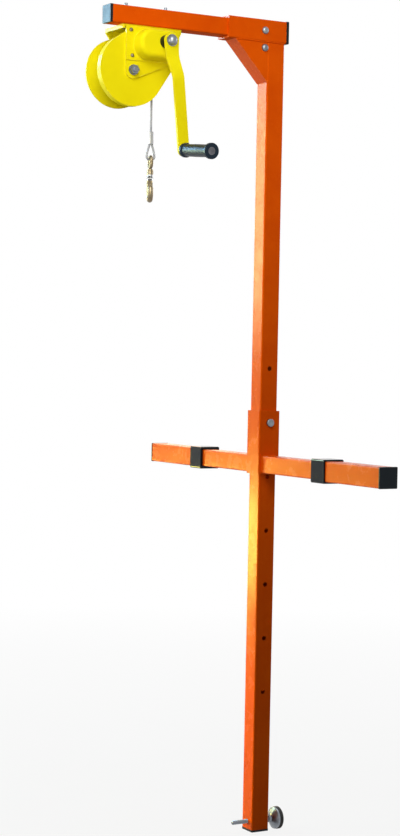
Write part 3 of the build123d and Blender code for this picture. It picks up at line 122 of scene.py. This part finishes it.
# Floor and world
AMBIENT = 0.06
FLOOR_SIZE = 60.0
FLOOR_GAP = 0.002
FLOOR_DARK = (0.32, 0.32, 0.32)
FLOOR_PALE = (0.36, 0.36, 0.36)
FLOOR_ROUGHNESS = 0.9
# The floor's white glow is weaker near the object, so the floor there is greyer: painted shade round the
# object, which also lets the real shadow show
FLOOR_GLOW = 0.87
GLOW_START = 0.5
GLOW_END = 4.0

# Rope: six strands round a core
FALL_LOW, FALL_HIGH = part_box("rope_fall")
FALL_X = (FALL_LOW.x + FALL_HIGH.x) / 2
ROPE_Y = (FALL_LOW.y + FALL_HIGH.y) / 2
ROPE_DIAMETER = FALL_HIGH.x - FALL_LOW.x
STRANDS = 6
LOBE_STEPS = 6
LAY_LENGTH = 0.034
ROUTE_ORDER = 3
ROUTE_STEPS = 24
FALL_END = 0.030
EYE_LOW, EYE_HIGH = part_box("rope_eye")
EYE_RADIUS = (EYE_HIGH.x - EYE_LOW.x - ROPE_DIAMETER) / 2
EYE_SPREAD = 0.0027
EYE_POINTS = 5
EYE_STEP = math.pi / (EYE_POINTS - 1)

# Rope on the drum
DRUM_LOW, DRUM_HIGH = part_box("drum")
DRUM_X = (DRUM_LOW.x + DRUM_HIGH.x) / 2
DRUM_Z = (DRUM_LOW.z + DRUM_HIGH.z) / 2
WINDING_RADIUS = DRUM_X - FALL_X
WINDING_PITCH = 0.0056
WINDING_TURNS = 3.5
POINTS_PER_TURN = 24
WINDING_STEPS = 5
CORE_LOW, CORE_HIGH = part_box("rope_core")
CORE_RADIUS = (CORE_HIGH.x - CORE_LOW.x) / 2
CORE_REAR_RADIUS = 0.040
CORE_STEP_Y = ROPE_Y - WINDING_TURNS * WINDING_PITCH - ROPE_DIAMETER
CORE_RIDGE = 0.0009
CORE_SIDES = 96
CORE_STEPS = 10

# Thread of the foot screw
SCREW_LOW, SCREW_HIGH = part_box("foot_screw")
THREAD_PITCH = 0.0015
THREAD_DEPTH = 0.0009
THREAD_SIDES = 24
THREAD_STEPS = 6
THREAD_POINT = 0.0015

# Weld beads
BEAD_RADIUS = 0.0022
BEAD_STEP = 0.0011
BEAD_RIPPLE = 0.0032
BEAD_DIP = 0.14
BEAD_SIDES = 10

# Finishes that differ from their node's slot
FINISH_OF = {
    "lock_collar_left": "black_gloss",
    "lock_collar_right": "black_gloss",
    "grip_spindle": "dark_steel",
    "crank_grip": "grip_plastic",
}

# Uneven tones, worn edges and dull undersides; on paint the pale edge colour is also a painted highlight
NOISE_ROUGHNESS = 0.6
PAINT_EDGE = 0.0012
PLASTIC_EDGE = 0.0010
METAL_EDGE = 0.0006
EDGE_SAMPLES = 4
EDGE_BEND_FULL = 0.75
EDGE_BEND_NONE = 0.985
WEAR_GAIN = 1.25
UNDERSIDE_ROUGHNESS = 0.85
UNDERSIDE_FULL = -0.95
UNDERSIDE_NONE = -0.6

# Bright neck of the hook, where its shank was left clean
NECK_DROP = 0.0118
NECK_LENGTH = 0.012
NECK_BLUR = 0.0006
NECK_COLOUR = (0.40, 0.415, 0.44)
NECK_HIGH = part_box("hook_body")[1].z - NECK_DROP
NECK_LOW = NECK_HIGH - NECK_LENGTH


# Camera
def add_camera():
    look = Vector((
        -math.sin(CAMERA_YAW) * math.cos(CAMERA_PITCH),
        -math.cos(CAMERA_YAW) * math.cos(CAMERA_PITCH),
        -math.sin(CAMERA_PITCH),
    ))
    level = look.cross(Vector((0, 0, 1))).normalized()
    upright = level.cross(look)
    across = math.cos(CAMERA_ROLL) * level + math.sin(CAMERA_ROLL) * upright
    upward = math.cos(CAMERA_ROLL) * upright - math.sin(CAMERA_ROLL) * level
    lens = bpy.data.cameras.new("camera")
    lens.sensor_fit = "VERTICAL"
    lens.sensor_height = SENSOR_HEIGHT
    lens.lens = SENSOR_HEIGHT * FOCAL_PIXELS / IMAGE_HEIGHT
    holder = bpy.data.objects.new("camera", lens)
    turn = Matrix((across, upward, -look)).transposed().to_4x4()
    holder.matrix_world = Matrix.Translation(CAMERA_PLACE) @ turn
    SCENE.collection.objects.link(holder)
    SCENE.camera = holder


# Meshes made in code
def add_mesh(name, points, faces):
    mesh = bpy.data.meshes.new(name)
    mesh.from_pydata([tuple(p) for p in points], [], faces)
    mesh.validate()
    for polygon in mesh.polygons:
        polygon.use_smooth = True
    piece = bpy.data.objects.new(name, mesh)
    SCENE.collection.objects.link(piece)
    return piece


def tube_faces(rings, sides):
    faces = []
    for i in range(rings - 1):
        for k in range(sides):
            a = i * sides + k
            b = i * sides + (k + 1) % sides
            faces.append((a, b, b + sides, a + sides))
    faces.append(tuple(range(sides - 1, -1, -1)))
    faces.append(tuple(range((rings - 1) * sides, rings * sides)))
    return faces


def loop_faces(rings, sides):
    faces = []
    for i in range(rings):
        for k in range(sides):
            here = i * sides
            ahead = (i + 1) % rings * sides
            beside = (k + 1) % sides
            faces.append((here + k, here + beside, ahead + beside, ahead + k))
    return faces


# Points along the smooth curve that the control points give
def spline_line(points, steps):
    curve = bpy.data.curves.new("route", "CURVE")
    curve.dimensions = "3D"
    curve.resolution_u = steps
    spline = curve.splines.new("NURBS")
    spline.points.add(len(points) - 1)
    for place, point in zip(points, spline.points):
        point.co = (*place, 1.0)
    spline.order_u = ROUTE_ORDER
    spline.use_endpoint_u = True
    holder = bpy.data.objects.new("route", curve)
    SCENE.collection.objects.link(holder)
    bpy.context.view_layer.update()
    mesh = bpy.data.meshes.new_from_object(holder)
    line = [v.co.copy() for v in mesh.vertices]
    bpy.data.objects.remove(holder)
    bpy.data.meshes.remove(mesh)
    return line


# Ropes: the outline is a ring of round strands that touch
def strand_radius(angle, radius):
    share = 2 * math.pi / STRANDS
    off = (angle + share / 2) % share - share / 2
    centre = radius * 2 / 3
    strand = radius / 3
    return centre * math.cos(off) + math.sqrt(max(strand ** 2 - (centre * math.sin(off)) ** 2, 0))


def laid_rope(name, line):
    sides = STRANDS * LOBE_STEPS
    points = []
    along = 0.0
    last = len(line) - 1
    ways = [(line[min(i + 1, last)] - line[max(i - 1, 0)]).normalized() for i in range(len(line))]
    side = ways[0].orthogonal().normalized()
    for i, (place, way) in enumerate(zip(line, ways)):
        side = (side - way * side.dot(way)).normalized()
        over = way.cross(side)
        if i:
            along += (place - line[i - 1]).length
        twist = 2 * math.pi * along / LAY_LENGTH
        for k in range(sides):
            angle = 2 * math.pi * k / sides
            reach = strand_radius(angle, ROPE_DIAMETER / 2)
            points.append(place + reach * (math.cos(angle + twist) * side + math.sin(angle + twist) * over))
    return add_mesh(name, points, tube_faces(len(line), sides))


def add_rope_fall():
    heights = (FALL_HIGH.z, FALL_HIGH.z - FALL_END, FALL_LOW.z + FALL_END, FALL_LOW.z)
    route = [(FALL_X, ROPE_Y, z) for z in heights]
    line = spline_line(route, ROUTE_STEPS)
    rope = laid_rope("rope_fall_laid", line)
    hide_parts("rope_fall")
    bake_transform(rope)
    return rope


def add_rope_eye():
    centre_z = EYE_LOW.z + ROPE_DIAMETER / 2 + EYE_RADIUS
    reach = EYE_RADIUS / math.cos(EYE_STEP / 2)
    angles = [math.pi + i * EYE_STEP for i in range(EYE_POINTS)]
    bend = [(reach * math.cos(angle), reach * math.sin(angle)) for angle in angles]
    rise = EYE_HIGH.z - centre_z
    outline = [(-EYE_SPREAD, rise), *bend, (EYE_SPREAD, rise)]
    route = [(FALL_X + u, ROPE_Y, centre_z + v) for u, v in outline]
    line = spline_line(route, ROUTE_STEPS)
    rope = laid_rope("rope_eye_laid", line)
    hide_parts("rope_eye")
    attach(rope, "rope_end")
    return rope


def winding_route():
    reach = WINDING_RADIUS / math.cos(math.pi / POINTS_PER_TURN)
    count = round(WINDING_TURNS * POINTS_PER_TURN)
    points = []
    for i in range(count + 1):
        back = (count - i) / POINTS_PER_TURN
        angle = math.pi - 2 * math.pi * back
        points.append((
            DRUM_X + reach * math.cos(angle),
            ROPE_Y - WINDING_PITCH * back,
            DRUM_Z + reach * math.sin(angle),
        ))
    return points


def add_rope_winding():
    rope = laid_rope("rope_winding_laid", spline_line(winding_route(), WINDING_STEPS))
    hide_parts("rope_winding")
    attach(rope, "winding_drum")
    return rope


# Inner layers of rope: the core's form, ridged by the turns that lie on it
def core_radius(y):
    if y > CORE_STEP_Y:
        return CORE_RADIUS
    share = (y - CORE_LOW.y) / (CORE_STEP_Y - CORE_LOW.y)
    return CORE_REAR_RADIUS + share * (CORE_RADIUS - CORE_REAR_RADIUS)


def add_rope_core():
    turns = (CORE_HIGH.y - CORE_LOW.y) / ROPE_DIAMETER
    rings = round(turns * CORE_STEPS) + 1
    points = []
    for i in range(rings):
        y = CORE_LOW.y + i * (CORE_HIGH.y - CORE_LOW.y) / (rings - 1)
        fuller = CORE_RIDGE if y < CORE_STEP_Y else 0.0
        for k in range(CORE_SIDES):
            angle = 2 * math.pi * k / CORE_SIDES
            phase = (y / ROPE_DIAMETER - k / CORE_SIDES) % 1
            radius = core_radius(y) + fuller - CORE_RIDGE * (2 * phase - 1) ** 2
            points.append((DRUM_X + radius * math.cos(angle), y, DRUM_Z - radius * math.sin(angle)))
    core = add_mesh("rope_core_wound", points, tube_faces(rings, CORE_SIDES))
    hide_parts("rope_core")
    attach(core, "winding_drum")
    return core


# Right-hand thread of the foot screw, with a tapered point at each end
def add_foot_thread():
    y = (SCREW_LOW.y + SCREW_HIGH.y) / 2
    z = (SCREW_LOW.z + SCREW_HIGH.z) / 2
    outer = (SCREW_HIGH.z - SCREW_LOW.z) / 2
    length = SCREW_HIGH.x - SCREW_LOW.x
    rings = round(length / THREAD_PITCH * THREAD_STEPS) + 1
    points = []
    for i in range(rings):
        along = i * length / (rings - 1)
        taper = max(THREAD_POINT - along, THREAD_POINT - (length - along), 0.0)
        for k in range(THREAD_SIDES):
            angle = 2 * math.pi * k / THREAD_SIDES
            phase = (along / THREAD_PITCH - k / THREAD_SIDES) % 1
            radius = min(outer - THREAD_DEPTH * abs(2 * phase - 1), outer - taper)
            points.append((SCREW_LOW.x + along, y + radius * math.cos(angle), z + radius * math.sin(angle)))
    screw = add_mesh("foot_screw_thread", points, tube_faces(rings, THREAD_SIDES))
    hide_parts("foot_screw")
    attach(screw, "foot_rod")
    return screw


# Weld beads, rippled along their length
def walk(corners, step):
    line = []
    for a, b in zip(corners, corners[1:]):
        count = max(1, round((b - a).length / step))
        line += [a.lerp(b, i / count) for i in range(count)]
    return line


def add_bead(name, corners, body):
    closed = (corners[0] - corners[-1]).length < BEAD_STEP
    line = walk(corners, BEAD_STEP)
    points = []
    along = 0.0
    for i, place in enumerate(line):
        ahead = line[(i + 1) % len(line)] if closed else line[min(i + 1, len(line) - 1)]
        behind = line[i - 1] if closed else line[max(i - 1, 0)]
        way = (ahead - behind).normalized()
        side = way.orthogonal().normalized()
        over = way.cross(side)
        along += BEAD_STEP
        wave = math.cos(2 * math.pi * along / BEAD_RIPPLE)
        radius = BEAD_RADIUS * (1 - BEAD_DIP + BEAD_DIP * wave)
        for k in range(BEAD_SIDES):
            angle = 2 * math.pi * k / BEAD_SIDES
            points.append(place + radius * (math.cos(angle) * side + math.sin(angle) * over))
    faces = loop_faces(len(line), BEAD_SIDES) if closed else tube_faces(len(line), BEAD_SIDES)
    bead = add_mesh(name, points, faces)
    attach(bead, body)
    return bead


def add_head_beads():
    mast_low, mast_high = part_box("mast_tube")
    gusset_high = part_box("head_gusset")[1]
    beads = []
    for name, y in (("near", mast_high.y), ("far", mast_low.y)):
        ends = [Vector((x, y, mast_high.z)) for x in (mast_low.x, gusset_high.x - BEAD_RADIUS)]
        beads.append(add_bead(f"head_weld_{name}", ends, "stand"))
    return beads


def add_stub_beads():
    low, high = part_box("carriage_sleeve")
    beads = []
    for name, y in (("right", high.y), ("left", low.y)):
        a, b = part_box(f"crossbar_stub_{name}")
        square = ((a.x, a.z), (b.x, a.z), (b.x, b.z), (a.x, b.z), (a.x, a.z))
        corners = [Vector((x, y, z)) for x, z in square]
        beads.append(add_bead(f"stub_weld_{name}", corners, "stand"))
    return beads


# Nodes that the materials are made of
def start_material(name):
    material = bpy.data.materials.new(name)
    material.use_nodes = True
    return material, material.node_tree, material.node_tree.nodes["Principled BSDF"]


def object_place(tree, stretch=(1, 1, 1)):
    coords = tree.nodes.new("ShaderNodeTexCoord")
    mapping = tree.nodes.new("ShaderNodeMapping")
    mapping.inputs["Scale"].default_value = stretch
    tree.links.new(coords.outputs["Object"], mapping.inputs["Vector"])
    return mapping.outputs["Vector"]


def noise(tree, place, scale, detail=4.0):
    node = tree.nodes.new("ShaderNodeTexNoise")
    node.inputs["Scale"].default_value = scale
    node.inputs["Detail"].default_value = detail
    node.inputs["Roughness"].default_value = NOISE_ROUGHNESS
    tree.links.new(place, node.inputs["Vector"])
    return node.outputs["Fac"]


def ramp(tree, factor, *stops):
    node = tree.nodes.new("ShaderNodeValToRGB")
    elements = node.color_ramp.elements
    while len(elements) < len(stops):
        elements.new(0.5)
    for element, (place, colour) in zip(elements, stops):
        element.position = place
        element.color = (*colour, 1.0)
    tree.links.new(factor, node.inputs["Fac"])
    return node.outputs["Color"]


def spread(tree, factor, low, high, start=0.3, end=0.7):
    node = tree.nodes.new("ShaderNodeMapRange")
    node.inputs["From Min"].default_value = start
    node.inputs["From Max"].default_value = end
    node.inputs["To Min"].default_value = low
    node.inputs["To Max"].default_value = high
    tree.links.new(factor, node.inputs["Value"])
    return node.outputs["Result"]


def multiply(tree, a, b):
    node = tree.nodes.new("ShaderNodeMath")
    node.operation = "MULTIPLY"
    tree.links.new(a, node.inputs[0])
    tree.links.new(b, node.inputs[1])
    return node.outputs["Value"]


def blend_colour(tree, factor, base, colour):
    node = tree.nodes.new("ShaderNodeMix")
    node.data_type = "RGBA"
    tree.links.new(factor, node.inputs["Factor"])
    tree.links.new(base, node.inputs["A"])
    node.inputs["B"].default_value = (*colour, 1.0)
    return node.outputs["Result"]


def bump(tree, shader, height, depth, strength):
    node = tree.nodes.new("ShaderNodeBump")
    node.inputs["Strength"].default_value = strength
    node.inputs["Distance"].default_value = depth
    tree.links.new(height, node.inputs["Height"])
    tree.links.new(node.outputs["Normal"], shader.inputs["Normal"])


# One along sharp edges, zero on flat faces
def edges(tree, radius):
    rounded = tree.nodes.new("ShaderNodeBevel")
    rounded.samples = EDGE_SAMPLES
    rounded.inputs["Radius"].default_value = radius
    plain = tree.nodes.new("ShaderNodeNewGeometry")
    dot = tree.nodes.new("ShaderNodeVectorMath")
    dot.operation = "DOT_PRODUCT"
    tree.links.new(rounded.outputs["Normal"], dot.inputs[0])
    tree.links.new(plain.outputs["Normal"], dot.inputs[1])
    return spread(tree, dot.outputs["Value"], 1.0, 0.0, EDGE_BEND_FULL, EDGE_BEND_NONE)


# Paint is duller on undersides, where dust clings
def dull_below(tree, roughness):
    coordinates = tree.nodes.new("ShaderNodeTexCoord")
    split = tree.nodes.new("ShaderNodeSeparateXYZ")
    tree.links.new(coordinates.outputs["Normal"], split.inputs["Vector"])
    dust = spread(tree, split.outputs["Z"], UNDERSIDE_ROUGHNESS, 0.0, UNDERSIDE_FULL, UNDERSIDE_NONE)
    node = tree.nodes.new("ShaderNodeMath")
    node.operation = "MAXIMUM"
    tree.links.new(roughness, node.inputs[0])
    tree.links.new(dust, node.inputs[1])
    return node.outputs["Value"]


# Materials: each has an uneven tone, gloss and grain
def painted(name, dark, pale, edge_wear_and_highlight, tint, specular, smooth, rough):
    material, tree, shader = start_material(name)
    place = object_place(tree)
    cloud = noise(tree, place, scale=9.0, detail=5.0)
    colour = ramp(tree, cloud, (0.32, dark), (0.68, pale))
    speck = spread(tree, noise(tree, place, scale=140.0, detail=3.0), 0.0, 1.0, start=0.35, end=0.6)
    # Paint edges take a paler colour in specks: partly rubbed paint, partly a painted highlight along the
    # edges
    colour = blend_colour(tree, multiply(tree, edges(tree, PAINT_EDGE), speck), colour, edge_wear_and_highlight)
    tree.links.new(colour, shader.inputs["Base Color"])
    gloss = spread(tree, noise(tree, place, scale=32.0), smooth, rough)
    tree.links.new(dull_below(tree, gloss), shader.inputs["Roughness"])
    shader.inputs["Specular IOR Level"].default_value = specular
    shader.inputs["Specular Tint"].default_value = (*tint, 1.0)
    bump(tree, shader, noise(tree, place, scale=620.0, detail=2.0), depth=0.00006, strength=0.5)
    return material


# In both paints the worn edge colour is partly rubbed paint and partly a painted edge highlight
def orange_paint():
    return painted(
        "orange_paint", dark=(0.66, 0.070, 0.0006), pale=(0.74, 0.092, 0.0010), edge_wear_and_highlight=(0.84, 0.22, 0.02),
        tint=(1.0, 0.60, 0.05), specular=0.13, smooth=0.22, rough=0.30,
    )


def yellow_paint():
    return painted(
        "yellow_paint", dark=(0.78, 0.66, 0.004), pale=(0.85, 0.74, 0.006), edge_wear_and_highlight=(0.93, 0.87, 0.15),
        tint=(1.0, 0.95, 0.25), specular=0.08, smooth=0.27, rough=0.36,
    )


def black(name, tint, specular, smooth, rough):
    material, tree, shader = start_material(name)
    place = object_place(tree)
    cloud = noise(tree, place, scale=14.0)
    colour = ramp(tree, cloud, (0.3, (0.004, 0.004, 0.005)), (0.75, (0.008, 0.008, 0.009)))
    wear = multiply(tree, edges(tree, PLASTIC_EDGE), noise(tree, place, scale=160.0))
    colour = blend_colour(tree, wear, colour, (0.022, 0.022, 0.025))
    tree.links.new(colour, shader.inputs["Base Color"])
    gloss = spread(tree, noise(tree, place, scale=46.0), smooth, rough)
    tree.links.new(gloss, shader.inputs["Roughness"])
    shader.inputs["Specular IOR Level"].default_value = specular
    # The tint colours the plastic's reflections; the blue tints given below are a painted sky reflection
    shader.inputs["Specular Tint"].default_value = (*tint, 1.0)
    bump(tree, shader, noise(tree, place, scale=1100.0, detail=2.0), depth=0.00002, strength=0.3)
    return material


# Blue specular tints on the black plastics and the grip: painted sky-blue reflection in their highlights
def black_plastic():
    return black("black_plastic", tint=(0.62, 0.84, 1.0), specular=0.19, smooth=0.36, rough=0.44)


def black_gloss():
    return black("black_gloss", tint=(0.62, 0.84, 1.0), specular=0.19, smooth=0.06, rough=0.09)


def grip_plastic():
    return black("grip_plastic", tint=(0.3, 0.62, 1.0), specular=0.4, smooth=0.40, rough=0.48)


def metal(name, dark, pale, smooth, rough, grain, depth, stretch=(1, 1, 1)):
    material, tree, shader = start_material(name)
    place = object_place(tree, stretch)
    colour = ramp(tree, noise(tree, place, scale=60.0, detail=5.0), (0.3, dark), (0.7, pale))
    bright = tuple(min(1.0, WEAR_GAIN * c) for c in pale)
    wear = multiply(tree, edges(tree, METAL_EDGE), noise(tree, place, scale=240.0))
    colour = blend_colour(tree, wear, colour, bright)
    tree.links.new(colour, shader.inputs["Base Color"])
    shader.inputs["Metallic"].default_value = 1.0
    gloss = spread(tree, noise(tree, place, scale=90.0), smooth, rough)
    tree.links.new(gloss, shader.inputs["Roughness"])
    bump(tree, shader, noise(tree, place, scale=grain, detail=3.0), depth, strength=0.6)
    return material


def zinc_steel():
    return metal(
        "zinc_steel", dark=(0.14, 0.155, 0.175), pale=(0.28, 0.30, 0.33),
        smooth=0.28, rough=0.44, grain=700.0, depth=0.00004,
    )


def dark_steel():
    return metal(
        "dark_steel", dark=(0.085, 0.085, 0.095), pale=(0.17, 0.17, 0.185),
        smooth=0.32, rough=0.48, grain=700.0, depth=0.00004,
    )


def aluminium():
    return metal(
        "aluminium", dark=(0.38, 0.39, 0.41), pale=(0.54, 0.55, 0.57),
        smooth=0.42, rough=0.58, grain=420.0, depth=0.00008, stretch=(1, 1, 0.25),
    )


def bronze():
    return metal(
        "bronze", dark=(0.32, 0.17, 0.06), pale=(0.48, 0.29, 0.12),
        smooth=0.30, rough=0.45, grain=600.0, depth=0.00005,
    )


def rope_steel():
    return metal(
        "rope_steel", dark=(0.24, 0.245, 0.265), pale=(0.40, 0.405, 0.425),
        smooth=0.58, rough=0.72, grain=1500.0, depth=0.00004,
    )


# One between the two heights, with a soft step at each
def band(tree, height, low, high, blur):
    above = spread(tree, height, 0.0, 1.0, start=low - blur, end=low + blur)
    below = spread(tree, height, 1.0, 0.0, start=high - blur, end=high + blur)
    return multiply(tree, above, below)


# Zinc plate with a yellow chromate film
def yellow_zinc():
    material, tree, shader = start_material("yellow_zinc")
    place = object_place(tree)
    cloud = noise(tree, place, scale=75.0, detail=5.0)
    film = ((0.28, (0.14, 0.108, 0.062)), (0.5, (0.23, 0.19, 0.120)), (0.72, (0.34, 0.295, 0.21)))
    split = tree.nodes.new("ShaderNodeSeparateXYZ")
    tree.links.new(place, split.inputs["Vector"])
    neck = band(tree, split.outputs["Z"], NECK_LOW, NECK_HIGH, NECK_BLUR)
    colour = blend_colour(tree, neck, ramp(tree, cloud, *film), NECK_COLOUR)
    tree.links.new(colour, shader.inputs["Base Color"])
    shader.inputs["Metallic"].default_value = 1.0
    gloss = spread(tree, noise(tree, place, scale=110.0), 0.30, 0.48)
    tree.links.new(gloss, shader.inputs["Roughness"])
    bump(tree, shader, noise(tree, place, scale=500.0, detail=3.0), depth=0.00010, strength=0.6)
    return material


def matt(name, dark, pale, smooth, rough, grain, depth):
    material, tree, shader = start_material(name)
    place = object_place(tree)
    colour = ramp(tree, noise(tree, place, scale=40.0, detail=5.0), (0.3, dark), (0.7, pale))
    tree.links.new(colour, shader.inputs["Base Color"])
    gloss = spread(tree, noise(tree, place, scale=70.0), smooth, rough)
    tree.links.new(gloss, shader.inputs["Roughness"])
    bump(tree, shader, noise(tree, place, scale=grain, detail=3.0), depth, strength=0.7)
    return material


def rubber():
    return matt(
        "rubber", dark=(0.010, 0.010, 0.010), pale=(0.024, 0.023, 0.022),
        smooth=0.70, rough=0.90, grain=380.0, depth=0.00015,
    )


def lining():
    return matt(
        "lining", dark=(0.05, 0.035, 0.025), pale=(0.11, 0.08, 0.06),
        smooth=0.75, rough=0.95, grain=300.0, depth=0.00020,
    )


# Every node and piece gets its material
def dress(pieces):
    makers = (orange_paint, yellow_paint, black_plastic, black_gloss, grip_plastic, zinc_steel, dark_steel,
              aluminium, bronze, rope_steel, yellow_zinc, rubber, lining)
    finish = {maker.__name__: maker() for maker in makers}
    for name, node in NODES.items():
        node.data.materials.clear()
        node.data.materials.append(finish[FINISH_OF.get(name, SLOT_OF[name])])
    for piece, slot in pieces:
        piece.data.materials.append(finish[slot])


# Stage: floor and world turn white where they are seen straight on or by reflection
def seen_directly(tree):
    path = tree.nodes.new("ShaderNodeLightPath")
    total = path.outputs["Is Camera Ray"]
    for kind in ("Is Glossy Ray", "Is Transmission Ray"):
        add = tree.nodes.new("ShaderNodeMath")
        add.operation = "ADD"
        add.use_clamp = True
        tree.links.new(total, add.inputs[0])
        tree.links.new(path.outputs[kind], add.inputs[1])
        total = add.outputs["Value"]
    return total


def add_floor():
    half = FLOOR_SIZE / 2
    z = CAD_BOX[0].z - FLOOR_GAP
    corners = [(-half, -half, z), (half, -half, z), (half, half, z), (-half, half, z)]
    floor = add_mesh("floor", corners, [(0, 1, 2, 3)])
    material, tree, shader = start_material("floor_white")
    cloud = noise(tree, object_place(tree), scale=3.0)
    tone = ramp(tree, cloud, (0.3, FLOOR_DARK), (0.7, FLOOR_PALE))
    tree.links.new(tone, shader.inputs["Base Color"])
    shader.inputs["Roughness"].default_value = FLOOR_ROUGHNESS
    shader.inputs["Specular IOR Level"].default_value = 0.0
    glow = tree.nodes.new("ShaderNodeEmission")
    mix = tree.nodes.new("ShaderNodeMixShader")
    spot = tree.nodes.new("ShaderNodeNewGeometry")
    away = tree.nodes.new("ShaderNodeVectorMath")
    away.operation = "LENGTH"
    tree.links.new(spot.outputs["Position"], away.inputs[0])
    # Glow share rises with distance from the object: painted shade on the floor near the object, where the
    # real shadow also shows
    share = spread(tree, away.outputs["Value"], FLOOR_GLOW, 1.0, GLOW_START, GLOW_END)
    tree.links.new(multiply(tree, seen_directly(tree), share), mix.inputs["Fac"])
    tree.links.new(shader.outputs["BSDF"], mix.inputs[1])
    tree.links.new(glow.outputs["Emission"], mix.inputs[2])
    tree.links.new(mix.outputs["Shader"], tree.nodes["Material Output"].inputs["Surface"])
    floor.data.materials.append(material)


def add_world():
    world = bpy.data.worlds.new("world")
    SCENE.world = world
    world.use_nodes = True
    tree = world.node_tree
    sky = tree.nodes["Background"]
    sky.inputs["Color"].default_value = (*WHITE, 1.0)
    strength = spread(tree, seen_directly(tree), AMBIENT, 1.0, start=0.0, end=1.0)
    tree.links.new(strength, sky.inputs["Strength"])


def add_lamp(name, place, target, width, height, watts, colour, spread_angle):
    light = bpy.data.lights.new(name, "AREA")
    light.shape = "RECTANGLE"
    light.size = width
    light.size_y = height
    light.energy = watts
    light.color = colour
    light.spread = spread_angle
    lamp = bpy.data.objects.new(name, light)
    turn = (target - place).to_track_quat("-Z", "Y")
    lamp.matrix_world = Matrix.Translation(place) @ turn.to_matrix().to_4x4()
    SCENE.collection.objects.link(lamp)


add_camera()
ROPES = [add_rope_fall(), add_rope_eye(), add_rope_winding(), add_rope_core()]
BEADS = add_head_beads() + add_stub_beads()
SCREW = add_foot_thread()
dress([
    *[(rope, "rope_steel") for rope in ROPES],
    *[(bead, "orange_paint") for bead in BEADS],
    (SCREW, "zinc_steel"),
])
add_floor()
add_world()
for lamp in LAMPS:
    add_lamp(*lamp)
